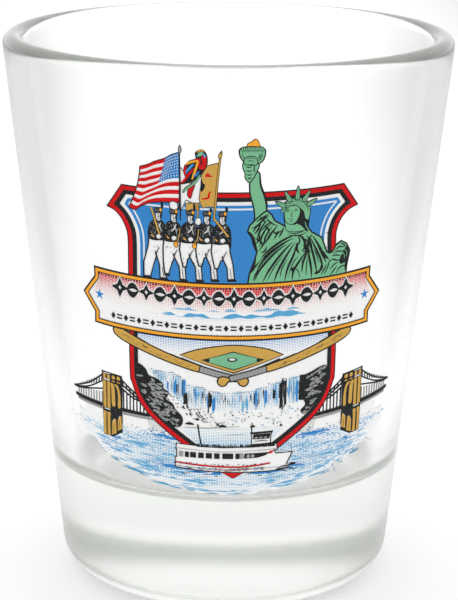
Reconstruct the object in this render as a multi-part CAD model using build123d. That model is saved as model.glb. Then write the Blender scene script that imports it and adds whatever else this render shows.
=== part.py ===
"""Souvenir shot glass: one pressed glass body with a fired, screen-printed decal of nine ink films.

The row frame has its origin at the centre of the foot, +Z up, and -Y through the middle of the print.
The glass is turned from one profile. The decal is drawn flat, as it is printed, in millimetres from the
middle of its banner, then wrapped on the cone as the real transfer is. A white underprint lies on the
glass, and the colours lie on it side by side, each colour in a node of its own.
"""

import os
from math import atan, atan2, ceil, cos, degrees, hypot, pi, radians, sin, sqrt

from build123d import *

# Driving dimensions of the glass, in millimetres
HEIGHT = 60.0
RIM_RADIUS = 24.35
FOOT_RADIUS = 17.95
WALL_AT_RIM = 2.3
WALL_AT_FLOOR = 2.7
FLOOR_HEIGHT = 12.6
FLOOR_DISH = 0.7
FLOOR_CORNER = 2.2
HEEL_RADIUS = 3.5
PUNT_RADIUS = 11.5
PUNT_DEPTH = 0.9

# Driving dimensions of the decal
INK_FILM = 0.06
BANNER_HEIGHT = 35.0
PRINT_LOW, PRINT_HIGH = 10.0, 56.0
LONGEST_EDGE = 4.0
SMALLEST_PATCH = 0.08
THINNEST_PATCH = 0.12

CONE_SLOPE = (RIM_RADIUS - FOOT_RADIUS) / HEIGHT
CONE_ANGLE = atan(CONE_SLOPE)
APEX_HEIGHT = -FOOT_RADIUS / CONE_SLOPE
BANNER_SLANT = (BANNER_HEIGHT - APEX_HEIGHT) / cos(CONE_ANGLE)


def outer_radius(z):
    """Radius of the glass's outer cone at height z."""
    return FOOT_RADIUS + CONE_SLOPE * z


# ---------------------------------------------------------------- glass body


def halfway_rise(radius, rise):
    """Height above its edge of a shallow spherical cap, half way out from the axis."""
    ball = (radius**2 + rise**2) / (2 * rise)
    return rise - ball + sqrt(ball**2 - radius**2 / 4)


def glass_body():
    """The pressed body: heavy foot, tapered wall and fire-polished lip, turned about Z."""
    lip = WALL_AT_RIM / 2
    lip_middle = (outer_radius(HEIGHT - lip) - lip / cos(CONE_ANGLE), HEIGHT - lip)
    lip_outer = (lip_middle[0] + lip * cos(CONE_ANGLE), lip_middle[1] - lip * sin(CONE_ANGLE))
    lip_inner = (lip_middle[0] - lip * cos(CONE_ANGLE), lip_middle[1] + lip * sin(CONE_ANGLE))
    floor_corner = (outer_radius(FLOOR_HEIGHT) - WALL_AT_FLOOR, FLOOR_HEIGHT)
    floor_halfway = (floor_corner[0] / 2, FLOOR_HEIGHT - halfway_rise(floor_corner[0], FLOOR_DISH))
    floor_middle = (0, FLOOR_HEIGHT - FLOOR_DISH)
    punt_top, punt_edge, heel = (0, PUNT_DEPTH), (PUNT_RADIUS, 0), (FOOT_RADIUS, 0)
    with BuildPart() as body:
        with BuildSketch(Plane.XZ) as profile:
            with BuildLine():
                ThreePointArc(punt_top, (PUNT_RADIUS / 2, halfway_rise(PUNT_RADIUS, PUNT_DEPTH)), punt_edge)
                Polyline(punt_edge, heel, lip_outer)
                ThreePointArc(lip_outer, (lip_middle[0], HEIGHT), lip_inner)
                Line(lip_inner, floor_corner)
                ThreePointArc(floor_corner, floor_halfway, floor_middle)
                Line(floor_middle, punt_top)
            make_face()
            fillet(profile.vertices().sort_by_distance((FOOT_RADIUS, 0, 0))[0], HEEL_RADIUS)
            fillet(profile.vertices().sort_by_distance((floor_corner[0], FLOOR_HEIGHT, 0))[0], FLOOR_CORNER)
        revolve(axis=Axis.Z)
    return body.part


# ---------------------------------------------------------------- flat outlines


def curve(p0, p1, p2, p3, steps=8):
    """Points of a cubic Bezier curve, both ends included."""
    points = []
    for i in range(steps + 1):
        t = i / steps
        weights = ((1 - t) ** 3, 3 * t * (1 - t) ** 2, 3 * t * t * (1 - t), t**3)
        points.append(tuple(sum(w * p[k] for w, p in zip(weights, (p0, p1, p2, p3))) for k in (0, 1)))
    return points


def arc(cx, cy, rx, ry, start, end, steps=10):
    """Points along part of an ellipse, from one angle to another in degrees."""
    angles = [radians(start + (end - start) * i / steps) for i in range(steps + 1)]
    return [(cx + rx * cos(a), cy + ry * sin(a)) for a in angles]


def mirrored(points):
    """The same outline on the other side of the decal's middle line."""
    return [(-x, y) for x, y in reversed(points)]


def between(a, b, t):
    """The point at fraction t of the way from a to b."""
    return (a[0] + (b[0] - a[0]) * t, a[1] + (b[1] - a[1]) * t)


def area(points):
    """The flat face inside an outline, facing up whichever way round the outline runs."""
    ahead = points[1:] + points[:1]
    turning = sum(x0 * y1 - x1 * y0 for (x0, y0), (x1, y1) in zip(points, ahead))
    run = points if turning > 0 else points[::-1]
    return Face(Wire.make_polygon([Vector(x, y) for x, y in run], close=True))


def bar(x0, y0, x1, y1):
    """An upright rectangle between two opposite corners."""
    return area([(x0, y0), (x1, y0), (x1, y1), (x0, y1)])


def ellipse(cx, cy, rx, ry, steps=16):
    return area(arc(cx, cy, rx, ry, 0, 360, steps)[:-1])


def line(points, width):
    """A printed line of the given width along an open run of points."""
    left, right = [], []
    for i, (x, y) in enumerate(points):
        x0, y0 = points[max(i - 1, 0)]
        x1, y1 = points[min(i + 1, len(points) - 1)]
        reach = width / 2 / hypot(x1 - x0, y1 - y0)
        left.append((x - (y1 - y0) * reach, y + (x1 - x0) * reach))
        right.append((x + (y1 - y0) * reach, y - (x1 - x0) * reach))
    return area(left + right[::-1])


def inset(face, amount):
    """A face drawn in by some amount all round, or grown by a negative one."""
    return offset(face, amount=-amount, kind=Kind.INTERSECTION)


# ---------------------------------------------------------------- motifs of the print
# Each returns (ink, face) pairs from the back of the picture to the front. PAPER keeps the colours off,
# so that the white underprint shows.

PAPER = "paper"

SHIELD_CORNER, SHIELD_EAR = (11.6, 12.5), (13.5, 9.9)
SHIELD_SIDE, SHIELD_TIP = 11.1, -18.7
BANNER_TOP, BANNER_BOTTOM = 2.75, -3.45
BANNER_HALF, BANNER_POINT = 15.33, 16.9


def shield_face():
    half = [SHIELD_CORNER] + curve(SHIELD_EAR, (12.0, 9.7), (SHIELD_SIDE, 8.2), (SHIELD_SIDE, 6.2))
    half += curve((SHIELD_SIDE, -7.8), (SHIELD_SIDE, -10.6), (9.6, -12.0), (7.2, -13.7))
    half += curve((7.2, -13.7), (5.0, -15.3), (2.4, -16.9), (0, SHIELD_TIP))[1:-1]
    return area(half + [(0, SHIELD_TIP)] + mirrored(half))


def shield():
    """The heraldic shield: a red and black border with white and blue pin lines inside it."""
    whole = shield_face()
    rings = (("black", 0), ("red", 0.1), ("black", 0.5), (PAPER, 0.92), ("blue", 1.33), (PAPER, 1.68), ("blue", 1.93))
    parts = [(ink, inset(whole, depth) if depth else whole) for ink, depth in rings]
    return parts + [(PAPER, inset(whole, 1.33) & bar(-14, -19, 14, BANNER_BOTTOM))]


def river():
    """The water across the foot of the picture."""
    surface = curve((-18.5, -14.3), (-12, -14.7), (-6, -15.0), (0, -15.0))
    surface += curve((0, -15.0), (6, -15.0), (12, -14.5), (19.1, -14.2))[1:]
    bed = curve((19.1, -14.2), (16.5, -18.9), (10, -20.2), (0.2, -20.5))[1:]
    bed += curve((0.2, -20.5), (-9, -20.2), (-15.5, -19.2), (-18.5, -14.3))[1:-1]
    return [("sky_blue", area(surface + bed))]


def bridge_half(side):
    """One end of a plain suspension bridge: deck, hangers, cables and a tower of three piers."""
    parts = [("black", line([(side * 18.9, -12.75), (side * 14, -13.0), (side * 8.6, -13.0)], 0.5))]
    for start, end in ((12.6, 9.3), (14.9, 19.3)):
        cable = curve((side * start, -8.8), (side * start, -10.2), (side * end, -11.2), (side * end, -11.4), 4)
        parts.append(("black", line(cable, 0.2)))
        for x, y in cable[1:-1]:
            parts.append(("black", bar(x - 0.09, -12.9, x + 0.09, y)))
    for middle in (12.65, 13.7, 14.75):
        parts.append(("tan", bar(side * middle - 0.32, -15.5, side * middle + 0.32, -9.3)))
    parts.append(("tan", bar(side * 13.7 - 1.4, -9.3, side * 13.7 + 1.4, -8.6)))
    return parts


def waterfall():
    """Blue falls between two banks of dark rock."""
    parts = []
    for step in range(8):
        x = -6.2 + 1.6 * step
        top = -9.15 + 0.02 * x * x
        parts.append(("blue" if step % 3 else "sky_blue", bar(x, top - 2.3, x + 0.7, top)))
    left = [(-10.1, -6.9), (-8.2, -7.6), (-7.0, -9.2), (-7.2, -10.6), (-5.2, -12.2), (-5.1, -13.4), (-6.6, -13.2), (-10.1, -9.8)]
    right = [(10.1, -6.9), (8.6, -7.9), (7.6, -8.4), (8.1, -10.2), (7.2, -11.6), (7.9, -12.1), (10.1, -10.0)]
    return parts + [("black", area(left)), ("black", area(right))]


def ball_field():
    """A diamond-shaped ball field."""
    tan = [(0, -6.95)] + arc(0, -7.3, 5.9, 3.4, 35, 145)
    green = [(-3.3, -5.55), (0, -4.6), (3.3, -5.55), (0, -6.5)]
    return [("tan", area(tan)), ("green", area(green)), (PAPER, ellipse(0, -5.45, 0.5, 0.24))]


def bat(side):
    """A ball bat with a grey grip, lying down and inwards from the upper left, or its mirror image."""
    end, grip, knob = (-12.6, -3.85), (-3.2, -6.6), (0.85, -7.75)
    lean = degrees(atan2(knob[1] - end[1], knob[0] - end[0]))
    barrel = arc(*end, 0.52, 0.52, lean - 90, lean - 270, 8)
    for point, half_width in ((grip, 0.28), (grip, -0.28)):
        barrel.append((point[0] - half_width * sin(radians(lean)), point[1] + half_width * cos(radians(lean))))
    drawn = [("tan", barrel), ("tan", arc(*knob, 0.36, 0.36, 0, 330, 11))]
    parts = [(ink, area(points if side < 0 else mirrored(points))) for ink, points in drawn]
    return parts + [("grey", line([(-side * grip[0], grip[1]), (-side * knob[0], knob[1])], 0.46))]


def marcher(x):
    """A bearer in a dark coat, white trousers and a tall plain hat."""
    trousers = [(x - 0.7, 2.6), (x - 0.5, 7.2), (x + 0.5, 7.2), (x + 0.75, 2.6), (x + 0.25, 2.6), (x, 5.2), (x - 0.25, 2.6)]
    coat = [(x - 0.6, 7.0), (x - 0.72, 8.8), (x - 0.2, 9.25), (x + 0.3, 9.25), (x + 0.72, 8.8), (x + 0.6, 7.0)]
    parts = [(PAPER, area(trousers)), ("black", area(coat)), (PAPER, ellipse(x, 9.5, 0.27, 0.36, 10))]
    return parts + [("black", bar(x - 0.28, 9.7, x + 0.28, 10.5))]


def flags():
    """A striped flag with a blue corner, a white flag with red streamers and a gold flag."""
    parts = [(PAPER, area([(-5.6, 10.5), (-3.3, 10.8), (-3.3, 14.4), (-5.6, 14.0)]))]
    parts.append(("gold", area([(-4.7, 10.7), (-2.0, 10.8), (-1.55, 15.5), (-2.9, 15.2), (-3.6, 13.2)])))
    parts.append(("red", ellipse(-3.9, 15.1, 1.0, 1.7)))
    fly, hoist = ((-9.75, 14.4), (-10.8, 10.1)), ((-5.6, 16.3), (-5.6, 11.2))
    bands = 9
    for step in range(bands):
        edges = [between(*side, t / bands) for side in (fly, hoist) for t in (step, step + 1)]
        outline = [edges[0], edges[2], edges[3], edges[1]]
        parts.append((PAPER if step % 2 else "red", area(outline)))
    parts.append(("blue", area([(-7.1, 15.6), (-5.6, 16.3), (-5.6, 13.5), (-7.5, 13.1)])))
    parts.append(("black", bar(-5.64, 9.3, -5.46, 17.2)))
    parts.append(("black", line([(-2.1, 9.6), (-1.45, 16.7)], 0.18)))
    return parts


def statue():
    """A robed figure of no one in particular, holding up a lit bowl."""
    bowl = [(2.8, 16.3), (0.45, 16.3)] + curve((0.45, 16.3), (0.6, 15.4), (0.9, 15.0), (0.75, 14.2))[1:]
    sleeve = curve((1.3, 13.5), (1.7, 12.0), (2.0, 10.4), (1.35, 8.3))
    robe = [(2.2, 5.9), (1.5, 2.6), (12.0, 2.6), (12.4, 6.1), (10.7, 5.7), (10.2, 4.4), (9.7, 5.6), (8.9, 7.2), (7.3, 8.4)]
    head = arc(6.15, 9.9, 1.5, 1.75, -15, 200)
    shoulder = [(4.4, 8.6), (3.3, 10.0), (2.5, 13.6), (2.2, 14.6), (2.3, 15.3)]
    flame = [(0.9, 16.3)] + curve((0.9, 16.3), (1.0, 17.4), (1.8, 17.2), (2.2, 18.0), 4)[1:] + [(2.5, 17.0), (2.2, 16.3)]
    return [("gold", area(flame)), ("green", area(bowl + sleeve + robe + head + shoulder))]


def star(cx, cy, radius):
    """A five-pointed star."""
    reach = (radius, radius * 0.42)
    turns = [(reach[i % 2], pi / 2 + pi * i / 5) for i in range(10)]
    return area([(cx + r * cos(a), cy + r * sin(a)) for r, a in turns])


def banner():
    """The cartouche: a gold frame, blue hills, two stars and two rows of plain ornament."""
    middle = (BANNER_TOP + BANNER_BOTTOM) / 2
    half = [(BANNER_HALF, BANNER_TOP), (BANNER_HALF, middle + 2.05), (BANNER_POINT, middle)]
    half += [(BANNER_HALF, middle - 2.0), (BANNER_HALF, BANNER_BOTTOM)]
    whole = area(half + mirrored(half))
    parts = [("black", whole), ("gold", inset(whole, 0.14)), (PAPER, inset(whole, 0.5))]
    parts.append(("red", bar(-14.6, BANNER_TOP - 0.95, 14.6, BANNER_TOP - 0.65)))
    ridge = curve((-9.8, -1.4), (-7, 0.3), (-5, -1.2), (-1.5, -0.7)) + curve((-1.5, -0.7), (2, -1.3), (4, 0.5), (8, -1.4))[1:]
    parts.append(("sky_blue", area(ridge)))
    for side in (-1, 1):
        parts.append(("blue", star(side * 14.6, -0.2, 0.6)))
    for step in range(7):
        x, half_width = -12.0 + 4.0 * step, 0.8 + 0.4 * (step % 2)
        parts.append(("black", area([(x - half_width, 1.2), (x, 2.0), (x + half_width, 1.2), (x, 0.4)])))
    for step in range(6):
        x = -10.0 + 4.0 * step
        parts.append(("black", bar(x - 1.2, -2.3, x + 1.2, -1.9)))
    return parts


def ferry():
    """A plain white passenger boat with a dark window row and a red waterline."""
    hull = [(-5.84, -15.3), (4.6, -15.4), (4.8, -16.4), (6.42, -16.5), (5.4, -18.2), (-5.84, -17.9)]
    outlines = [area(hull), bar(2.0, -15.4, 4.1, -13.6)]
    parts = [("black", inset(face, -0.12)) for face in outlines] + [(PAPER, face) for face in outlines]
    parts.append(("black", bar(2.3, -14.6, 3.8, -14.0)))
    for step in range(5):
        x = -5.2 + 1.9 * step
        parts.append(("black", bar(x, -16.5, x + 1.5, -16.0)))
    parts.append(("red", line([(-5.7, -17.4), (0, -17.6), (5.4, -17.3)], 0.2)))
    return parts


def picture():
    """Every motif, from the back of the picture to the front."""
    motifs = [river(), bridge_half(-1), bridge_half(1), shield(), waterfall(), flags()]
    motifs += [marcher(-7.75 + 1.65 * step) for step in range(5)]
    motifs += [statue(), ball_field(), bat(1), bat(-1), banner(), ferry()]
    return [item for motif in motifs for item in motif]


# ---------------------------------------------------------------- wrapping the print on the cone


def wrapped(x, y):
    """Front elevation (X, Z) of a point of the flat decal once it lies on the cone."""
    slant = hypot(x, BANNER_SLANT + y)
    turn = atan2(x, BANNER_SLANT + y) / sin(CONE_ANGLE)
    return slant * sin(CONE_ANGLE) * sin(turn), slant * cos(CONE_ANGLE) + APEX_HEIGHT


def wrapped_area(wire):
    """The flat face of an outline in front elevation, its long edges divided to follow the cone."""
    points = [edge @ 0 for edge in wire.order_edges()]
    divided = []
    for start, end in zip(points, points[1:] + points[:1]):
        pieces = ceil((end - start).length / LONGEST_EDGE)
        divided += [between((start.X, start.Y), (end.X, end.Y), i / pieces) for i in range(pieces)]
    return area([wrapped(x, y) for x, y in divided])


def prints_cleanly(face):
    """Whether a patch of ink is big enough, and wide enough on average, to hold on the screen."""
    edge_length = sum(edge.length for edge in face.edges())
    return face.area > SMALLEST_PATCH and 2 * face.area / edge_length > THINNEST_PATCH


def visible_faces():
    """The faces of each ink that show, {ink: [face]}, and those of the whole print."""
    covered, inks = Sketch(), {}
    for ink, face in reversed(picture()):
        showing = face - covered if covered else Sketch() + face
        covered = covered + face
        inks.setdefault(ink, []).extend(f for f in showing.faces() if prints_cleanly(f))
    inks.pop(PAPER)
    return inks, covered.faces()


def film(faces, level):
    """The ink film over some flat faces, on a level of ink above the glass."""
    gaps = (INK_FILM * level, INK_FILM * (level + 1))
    section = [(outer_radius(PRINT_LOW) + gap, PRINT_LOW) for gap in gaps]
    section += [(outer_radius(PRINT_HIGH) + gap, PRINT_HIGH) for gap in reversed(gaps)]
    shell = revolve(Plane.XZ * area(section), axis=Axis.Z)
    solids = []
    for face in faces:
        outline = wrapped_area(face.outer_wire())
        for hole in face.inner_wires():
            outline -= wrapped_area(hole)
        column = extrude(Plane.XZ * outline, amount=RIM_RADIUS + 5, dir=(0, -1, 0))
        solids += (column & shell).solids()
    return Compound(children=solids)


def build():
    os.makedirs("parts", exist_ok=True)
    export_step(glass_body(), "parts/glass_body.step")
    inks, whole = visible_faces()
    export_step(film(whole, 0), "parts/decal_white_underprint.step")
    for ink, faces in inks.items():
        export_step(film(faces, 1), f"parts/decal_{ink}_ink.step")


build()
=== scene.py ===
import math
import random

import bpy
import numpy as np
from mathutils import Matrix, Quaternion, Vector
from mathutils.geometry import delaunay_2d_cdt


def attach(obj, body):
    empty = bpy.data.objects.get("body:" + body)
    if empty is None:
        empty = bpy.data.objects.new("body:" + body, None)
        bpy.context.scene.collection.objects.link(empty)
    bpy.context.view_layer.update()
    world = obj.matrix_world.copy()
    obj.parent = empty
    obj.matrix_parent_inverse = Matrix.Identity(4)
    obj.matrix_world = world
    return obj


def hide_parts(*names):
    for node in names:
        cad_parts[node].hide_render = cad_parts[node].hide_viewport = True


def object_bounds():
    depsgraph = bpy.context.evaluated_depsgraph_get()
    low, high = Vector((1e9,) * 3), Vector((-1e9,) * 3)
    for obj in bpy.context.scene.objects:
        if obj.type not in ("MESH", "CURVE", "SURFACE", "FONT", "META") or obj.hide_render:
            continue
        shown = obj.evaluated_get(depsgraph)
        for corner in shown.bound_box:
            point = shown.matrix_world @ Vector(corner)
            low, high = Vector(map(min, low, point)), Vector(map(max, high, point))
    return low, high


# ---------------------------------------------------------------- frame and sizes, in millimetres

MM = 0.001
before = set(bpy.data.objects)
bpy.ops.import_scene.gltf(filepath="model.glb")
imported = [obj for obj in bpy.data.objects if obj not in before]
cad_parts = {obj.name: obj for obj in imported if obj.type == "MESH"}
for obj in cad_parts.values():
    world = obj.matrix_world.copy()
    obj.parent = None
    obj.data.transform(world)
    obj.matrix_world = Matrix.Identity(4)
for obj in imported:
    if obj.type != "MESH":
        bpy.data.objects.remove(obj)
cad_low, cad_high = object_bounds()

HEIGHT = (cad_high.z - cad_low.z) / MM
RIM_RADIUS, FOOT_RADIUS = 24.35, 17.95
WALL_AT_RIM, WALL_AT_FLOOR = 2.3, 2.7
FLOOR_HEIGHT, FLOOR_DISH, FLOOR_CORNER = 12.6, 0.7, 2.2
HEEL_RADIUS, PUNT_RADIUS, PUNT_DEPTH = 3.5, 11.5, 0.9
GLASS_TURNS = 256

# each film is this thick, and the lowest is bedded a little into the glass, so that it traps no air
INK_FILM, INK_SUNK = 0.06, 0.012
MESH_STEP = 0.8

# the wall is a cone: its slope and half angle, the height of its apex, and the slant length from there to
# the banner, where the flat decal has its origin
BANNER_HEIGHT = 35.0
SLOPE = (RIM_RADIUS - FOOT_RADIUS) / HEIGHT
CONE = math.atan(SLOPE)
APEX = -FOOT_RADIUS / SLOPE
SLANT = (BANNER_HEIGHT - APEX) / math.cos(CONE)


def outer_radius(z):
    return FOOT_RADIUS + SLOPE * z


# ---------------------------------------------------------------- drawing the decal, flat, in millimetres

PAPER = "paper"
PRINT = []


def ink(name, points, tone=None):
    """Puts an area of ink on top of what is drawn so far. tone(x, y) is the ink's coverage, from 0 to 1."""
    PRINT.append((name, np.array(points, float), tone))


def spline(points, steps=5, closed=False):
    """Points along a smooth (Catmull-Rom) line through the given ones."""
    p = np.array(points, float)
    if len(p) < 3:
        return p
    p = np.vstack([p[-1], p, p[0], p[1]]) if closed else np.vstack([2 * p[0] - p[1], p, 2 * p[-1] - p[-2]])
    out = []
    for a, b, c, d in zip(p, p[1:], p[2:], p[3:]):
        for t in np.arange(steps) / steps:
            out.append(0.5 * (2 * b + (c - a) * t + (2 * a - 5 * b + 4 * c - d) * t * t
                              + (3 * b - a - 3 * c + d) * t**3))
    return np.array(out if closed else out + [p[-2]])


def blob(name, points, line=0.0, steps=4, tone=None):
    """A smooth closed area, with a black outline of the given width round it."""
    shape = spline(points, steps, closed=True)
    if line:
        ink("black", grown(shape, line))
    ink(name, shape, tone)


def poly(name, points, line=0.0, tone=None):
    """A straight-sided area, with a black outline of the given width round it."""
    if line:
        ink("black", grown(np.array(points, float), line))
    ink(name, points, tone)


def grown(points, by):
    """A closed outline moved outwards by a distance, or inwards by a negative one."""
    ahead, behind = np.roll(points, -1, 0) - points, points - np.roll(points, 1, 0)
    ahead /= np.maximum(np.linalg.norm(ahead, axis=1), 1e-9)[:, None]
    behind /= np.maximum(np.linalg.norm(behind, axis=1), 1e-9)[:, None]
    turning = np.sum(points[:, 0] * np.roll(points[:, 1], -1) - points[:, 1] * np.roll(points[:, 0], -1))
    n1, n2 = np.stack([ahead[:, 1], -ahead[:, 0]], 1), np.stack([behind[:, 1], -behind[:, 0]], 1)
    normal = n1 + n2
    reach = np.maximum(np.sum(normal * n1, axis=1), 0.5)
    return points + normal / reach[:, None] * by * (1 if turning > 0 else -1)


def inset(points, depth):
    """A closed outline moved inwards by a distance, without the loops this makes at sharp corners."""
    dense = divided(points, 0.25)
    moved = grown(dense, -depth)
    a, way = dense, np.roll(dense, -1, 0) - dense
    along = ((moved[:, None] - a[None]) * way[None]).sum(-1) / np.maximum((way**2).sum(-1), 1e-12)[None]
    nearest = a[None] + np.clip(along, 0, 1)[..., None] * way[None]
    return moved[np.linalg.norm(moved[:, None] - nearest, axis=-1).min(1) > depth * 0.97]


def divided(points, longest):
    """A closed outline with no edge longer than a given length."""
    out = []
    for a, b in zip(points, np.roll(points, -1, 0)):
        pieces = max(1, math.ceil(float(np.linalg.norm(b - a)) / longest))
        out += [a + (b - a) * i / pieces for i in range(pieces)]
    return np.array(out)


def stroke(name, points, width, taper=0.0, steps=5, smooth=True, tone=None):
    """A drawn line. taper 0 keeps its width, 1 points both ends, -1 points only the last."""
    line = spline(points, steps) if smooth else np.array(points, float)
    way = np.gradient(line, axis=0)
    way /= np.maximum(np.linalg.norm(way, axis=1), 1e-9)[:, None]
    t = np.linspace(0, 1, len(line))
    share = np.ones(len(line))
    if taper > 0:
        share = 1 - taper + taper * np.sin(np.pi * t) ** 0.7
    elif taper < 0:
        share = 1 + taper * t**1.5
    half = (np.maximum(share, 0.06) * width / 2)[:, None] * np.stack([-way[:, 1], way[:, 0]], 1)
    ink(name, np.vstack([line + half, (line - half)[::-1]]), tone)


def strokes(name, width, taper, *lines):
    for points in lines:
        stroke(name, points, width, taper)


def oval(cx, cy, rx, ry, steps=16, start=0.0, end=360.0):
    count = steps if end - start >= 360 else steps + 1
    angles = np.radians(start + (end - start) * np.arange(count) / steps)
    return np.stack([cx + rx * np.cos(angles), cy + ry * np.sin(angles)], 1)


def box(x0, y0, x1, y1):
    return [(x0, y0), (x1, y0), (x1, y1), (x0, y1)]


def flipped(points):
    return [(-x, y) for x, y in points]


def inside(points, x, y):
    """Which of the points (x, y) lie in a closed outline, by the even-odd rule."""
    px, py = points[:, 0], points[:, 1]
    qx, qy = np.roll(px, -1), np.roll(py, -1)
    found = np.zeros(len(x), bool)
    for x0, y0, x1, y1 in zip(px, py, qx, qy):
        if y0 != y1:
            found ^= ((y0 > y) != (y1 > y)) & (x < (x1 - x0) * (y - y0) / (y1 - y0) + x0)
    return found


def fade(y0, t0, y1, t1):
    """A coverage that changes evenly with height, from t0 at y0 to t1 at y1."""
    return lambda x, y: np.clip(t0 + (t1 - t0) * (y - y0) / (y1 - y0), min(t0, t1), max(t0, t1))


def flat_tone(value):
    return lambda x, y: np.full_like(y, value)


def fleck(dice, name, x, y, length, width, lean=0.0, tone=None):
    """A small uneven splash of ink, long along the direction lean in degrees."""
    c, s = math.cos(math.radians(lean)), math.sin(math.radians(lean))
    points = []
    for i in range(6):
        a = math.pi * i / 3 + dice.uniform(-0.3, 0.3)
        u, v = length / 2 * math.cos(a) * dice.uniform(0.7,
                                                       1.1), width / 2 * math.sin(a) * dice.uniform(0.6,
                                                                                                    1.2)
        points.append((x + u * c - v * s, y + u * s + v * c))
    ink(name, points, tone)


def ragged(dice, name, x, top, low, width):
    """An upright streak with a torn outline: narrow strokes side by side, each of its own length."""
    count = max(2, round(width / 0.1))
    for i in range(count):
        at = x + width * ((i + 0.5) / count - 0.5)
        y0, y1 = top - dice.uniform(0, 0.2) * (top - low), low + dice.uniform(-0.1, 0.3) * (top - low)
        middle, foot = at + dice.uniform(-0.05, 0.05), at + dice.uniform(-0.05, 0.05)
        stroke(name, [(at, y0), (middle, (y0 + y1) / 2), (foot, y1)],
               width / count * dice.uniform(1.2, 1.8), 0.45, 3)


# ---------------------------------------------------------------- motifs, each drawn over those before it

SHIELD_CORNER = {-1: (-11.78, 12.32), 1: (11.4, 12.5)}
SHIELD_FLANK = {-1: [(-13.58, 9.66), (-12.6, 9.36), (-11.78, 8.6), (-11.2, 7.4), (-11.08, 6.2)],
                1: [(13.24, 9.92), (12.0, 9.5), (11.12, 8.6), (10.7, 7.4), (10.7, 6.2)]}
SHIELD_LOWER = [(11.05, 2.0), (11.08, -7.6), (10.85, -9.2), (10.1, -11.0), (8.9, -12.5), (7.2, -13.9),
                (4.2, -16.1)]
SHIELD_TIP = (0.15, -18.85)
SHIELD_LEAN = -0.009


def shield_side(side):
    """One side of the shield, from its top corner down to the last point before the tip."""
    flank = spline(SHIELD_FLANK[side], 4)
    lower = spline([(side * x + SHIELD_LEAN * y, y) for x, y in SHIELD_LOWER], 4)
    return [SHIELD_CORNER[side]] + [tuple(p) for p in [*flank, *lower]]


def shield():
    """A ringed shield: its field above the banner is blue, and white below it."""
    whole = np.array(shield_side(1) + [SHIELD_TIP] + shield_side(-1)[::-1])
    ink("black", whole)
    for name, depth in (("red", 0.13), ("black", 0.55), (PAPER, 1.0), ("blue", 1.4), (PAPER, 1.68),
                        ("blue", 1.9)):
        ink(name, inset(whole, depth))
    lower = inset(whole, 1.0)
    lower = lower[lower[:, 1] < -2.5]
    lower = lower[np.argsort(np.arctan2(lower[:, 0], -(lower[:, 1] + 2.4)))]
    ink(PAPER, lower)
    ink("blue", [(-10.0, -2.4), (10.0, -2.4), (10.0, -3.8), (7.4, -5.2), (-7.4, -5.2), (-10.0, -3.8)],
        fade(-3.5, 0.5, -5.2, 0.04))


# dark water between the white falls: ink, place across, top, foot, width
FALL_STREAKS = (
    ("blue", -5.95, -8.0, -10.1, 0.22), ("black", -5.75, -8.3, -10.4, 0.1),
    ("blue", -6.7, -8.3, -9.6, 0.14), ("blue", -5.0, -7.85, -9.9, 0.28),
    ("black", -5.16, -7.95, -9.7, 0.1), ("black", -4.85, -9.3, -11.0, 0.4),
    ("blue", -3.9, -8.8, -9.8, 0.12), ("black", -3.1, -9.0, -10.0, 0.08),
    ("blue", -2.62, -9.3, -10.8, 0.14), ("black", -2.32, -9.15, -11.35, 0.36),
    ("blue", -1.95, -9.7, -11.3, 0.28), ("sky", 1.05, -9.9, -11.3, 0.14),
    ("sky", 1.5, -9.7, -11.4, 0.16), ("black", 1.85, -9.2, -10.3, 0.08),
    ("blue", 2.42, -8.85, -10.95, 0.28), ("black", 2.24, -8.9, -10.9, 0.1),
    ("blue", 3.38, -8.65, -10.95, 0.3), ("black", 3.14, -8.75, -9.9, 0.1),
    ("blue", 4.42, -8.5, -9.4, 0.14), ("black", 4.26, -8.9, -10.2, 0.26),
    ("sky", 5.95, -7.95, -10.4, 0.12), ("sky", 6.35, -7.95, -10.6, 0.12),
    ("blue", 6.75, -7.9, -10.7, 0.26), ("black", 6.98, -7.85, -10.5, 0.14),
    ("black", 5.2, -7.85, -10.9, 0.8), ("black", 5.06, -9.8, -11.7, 0.36),
    (PAPER, 5.42, -8.5, -9.3, 0.05),
)


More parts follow.
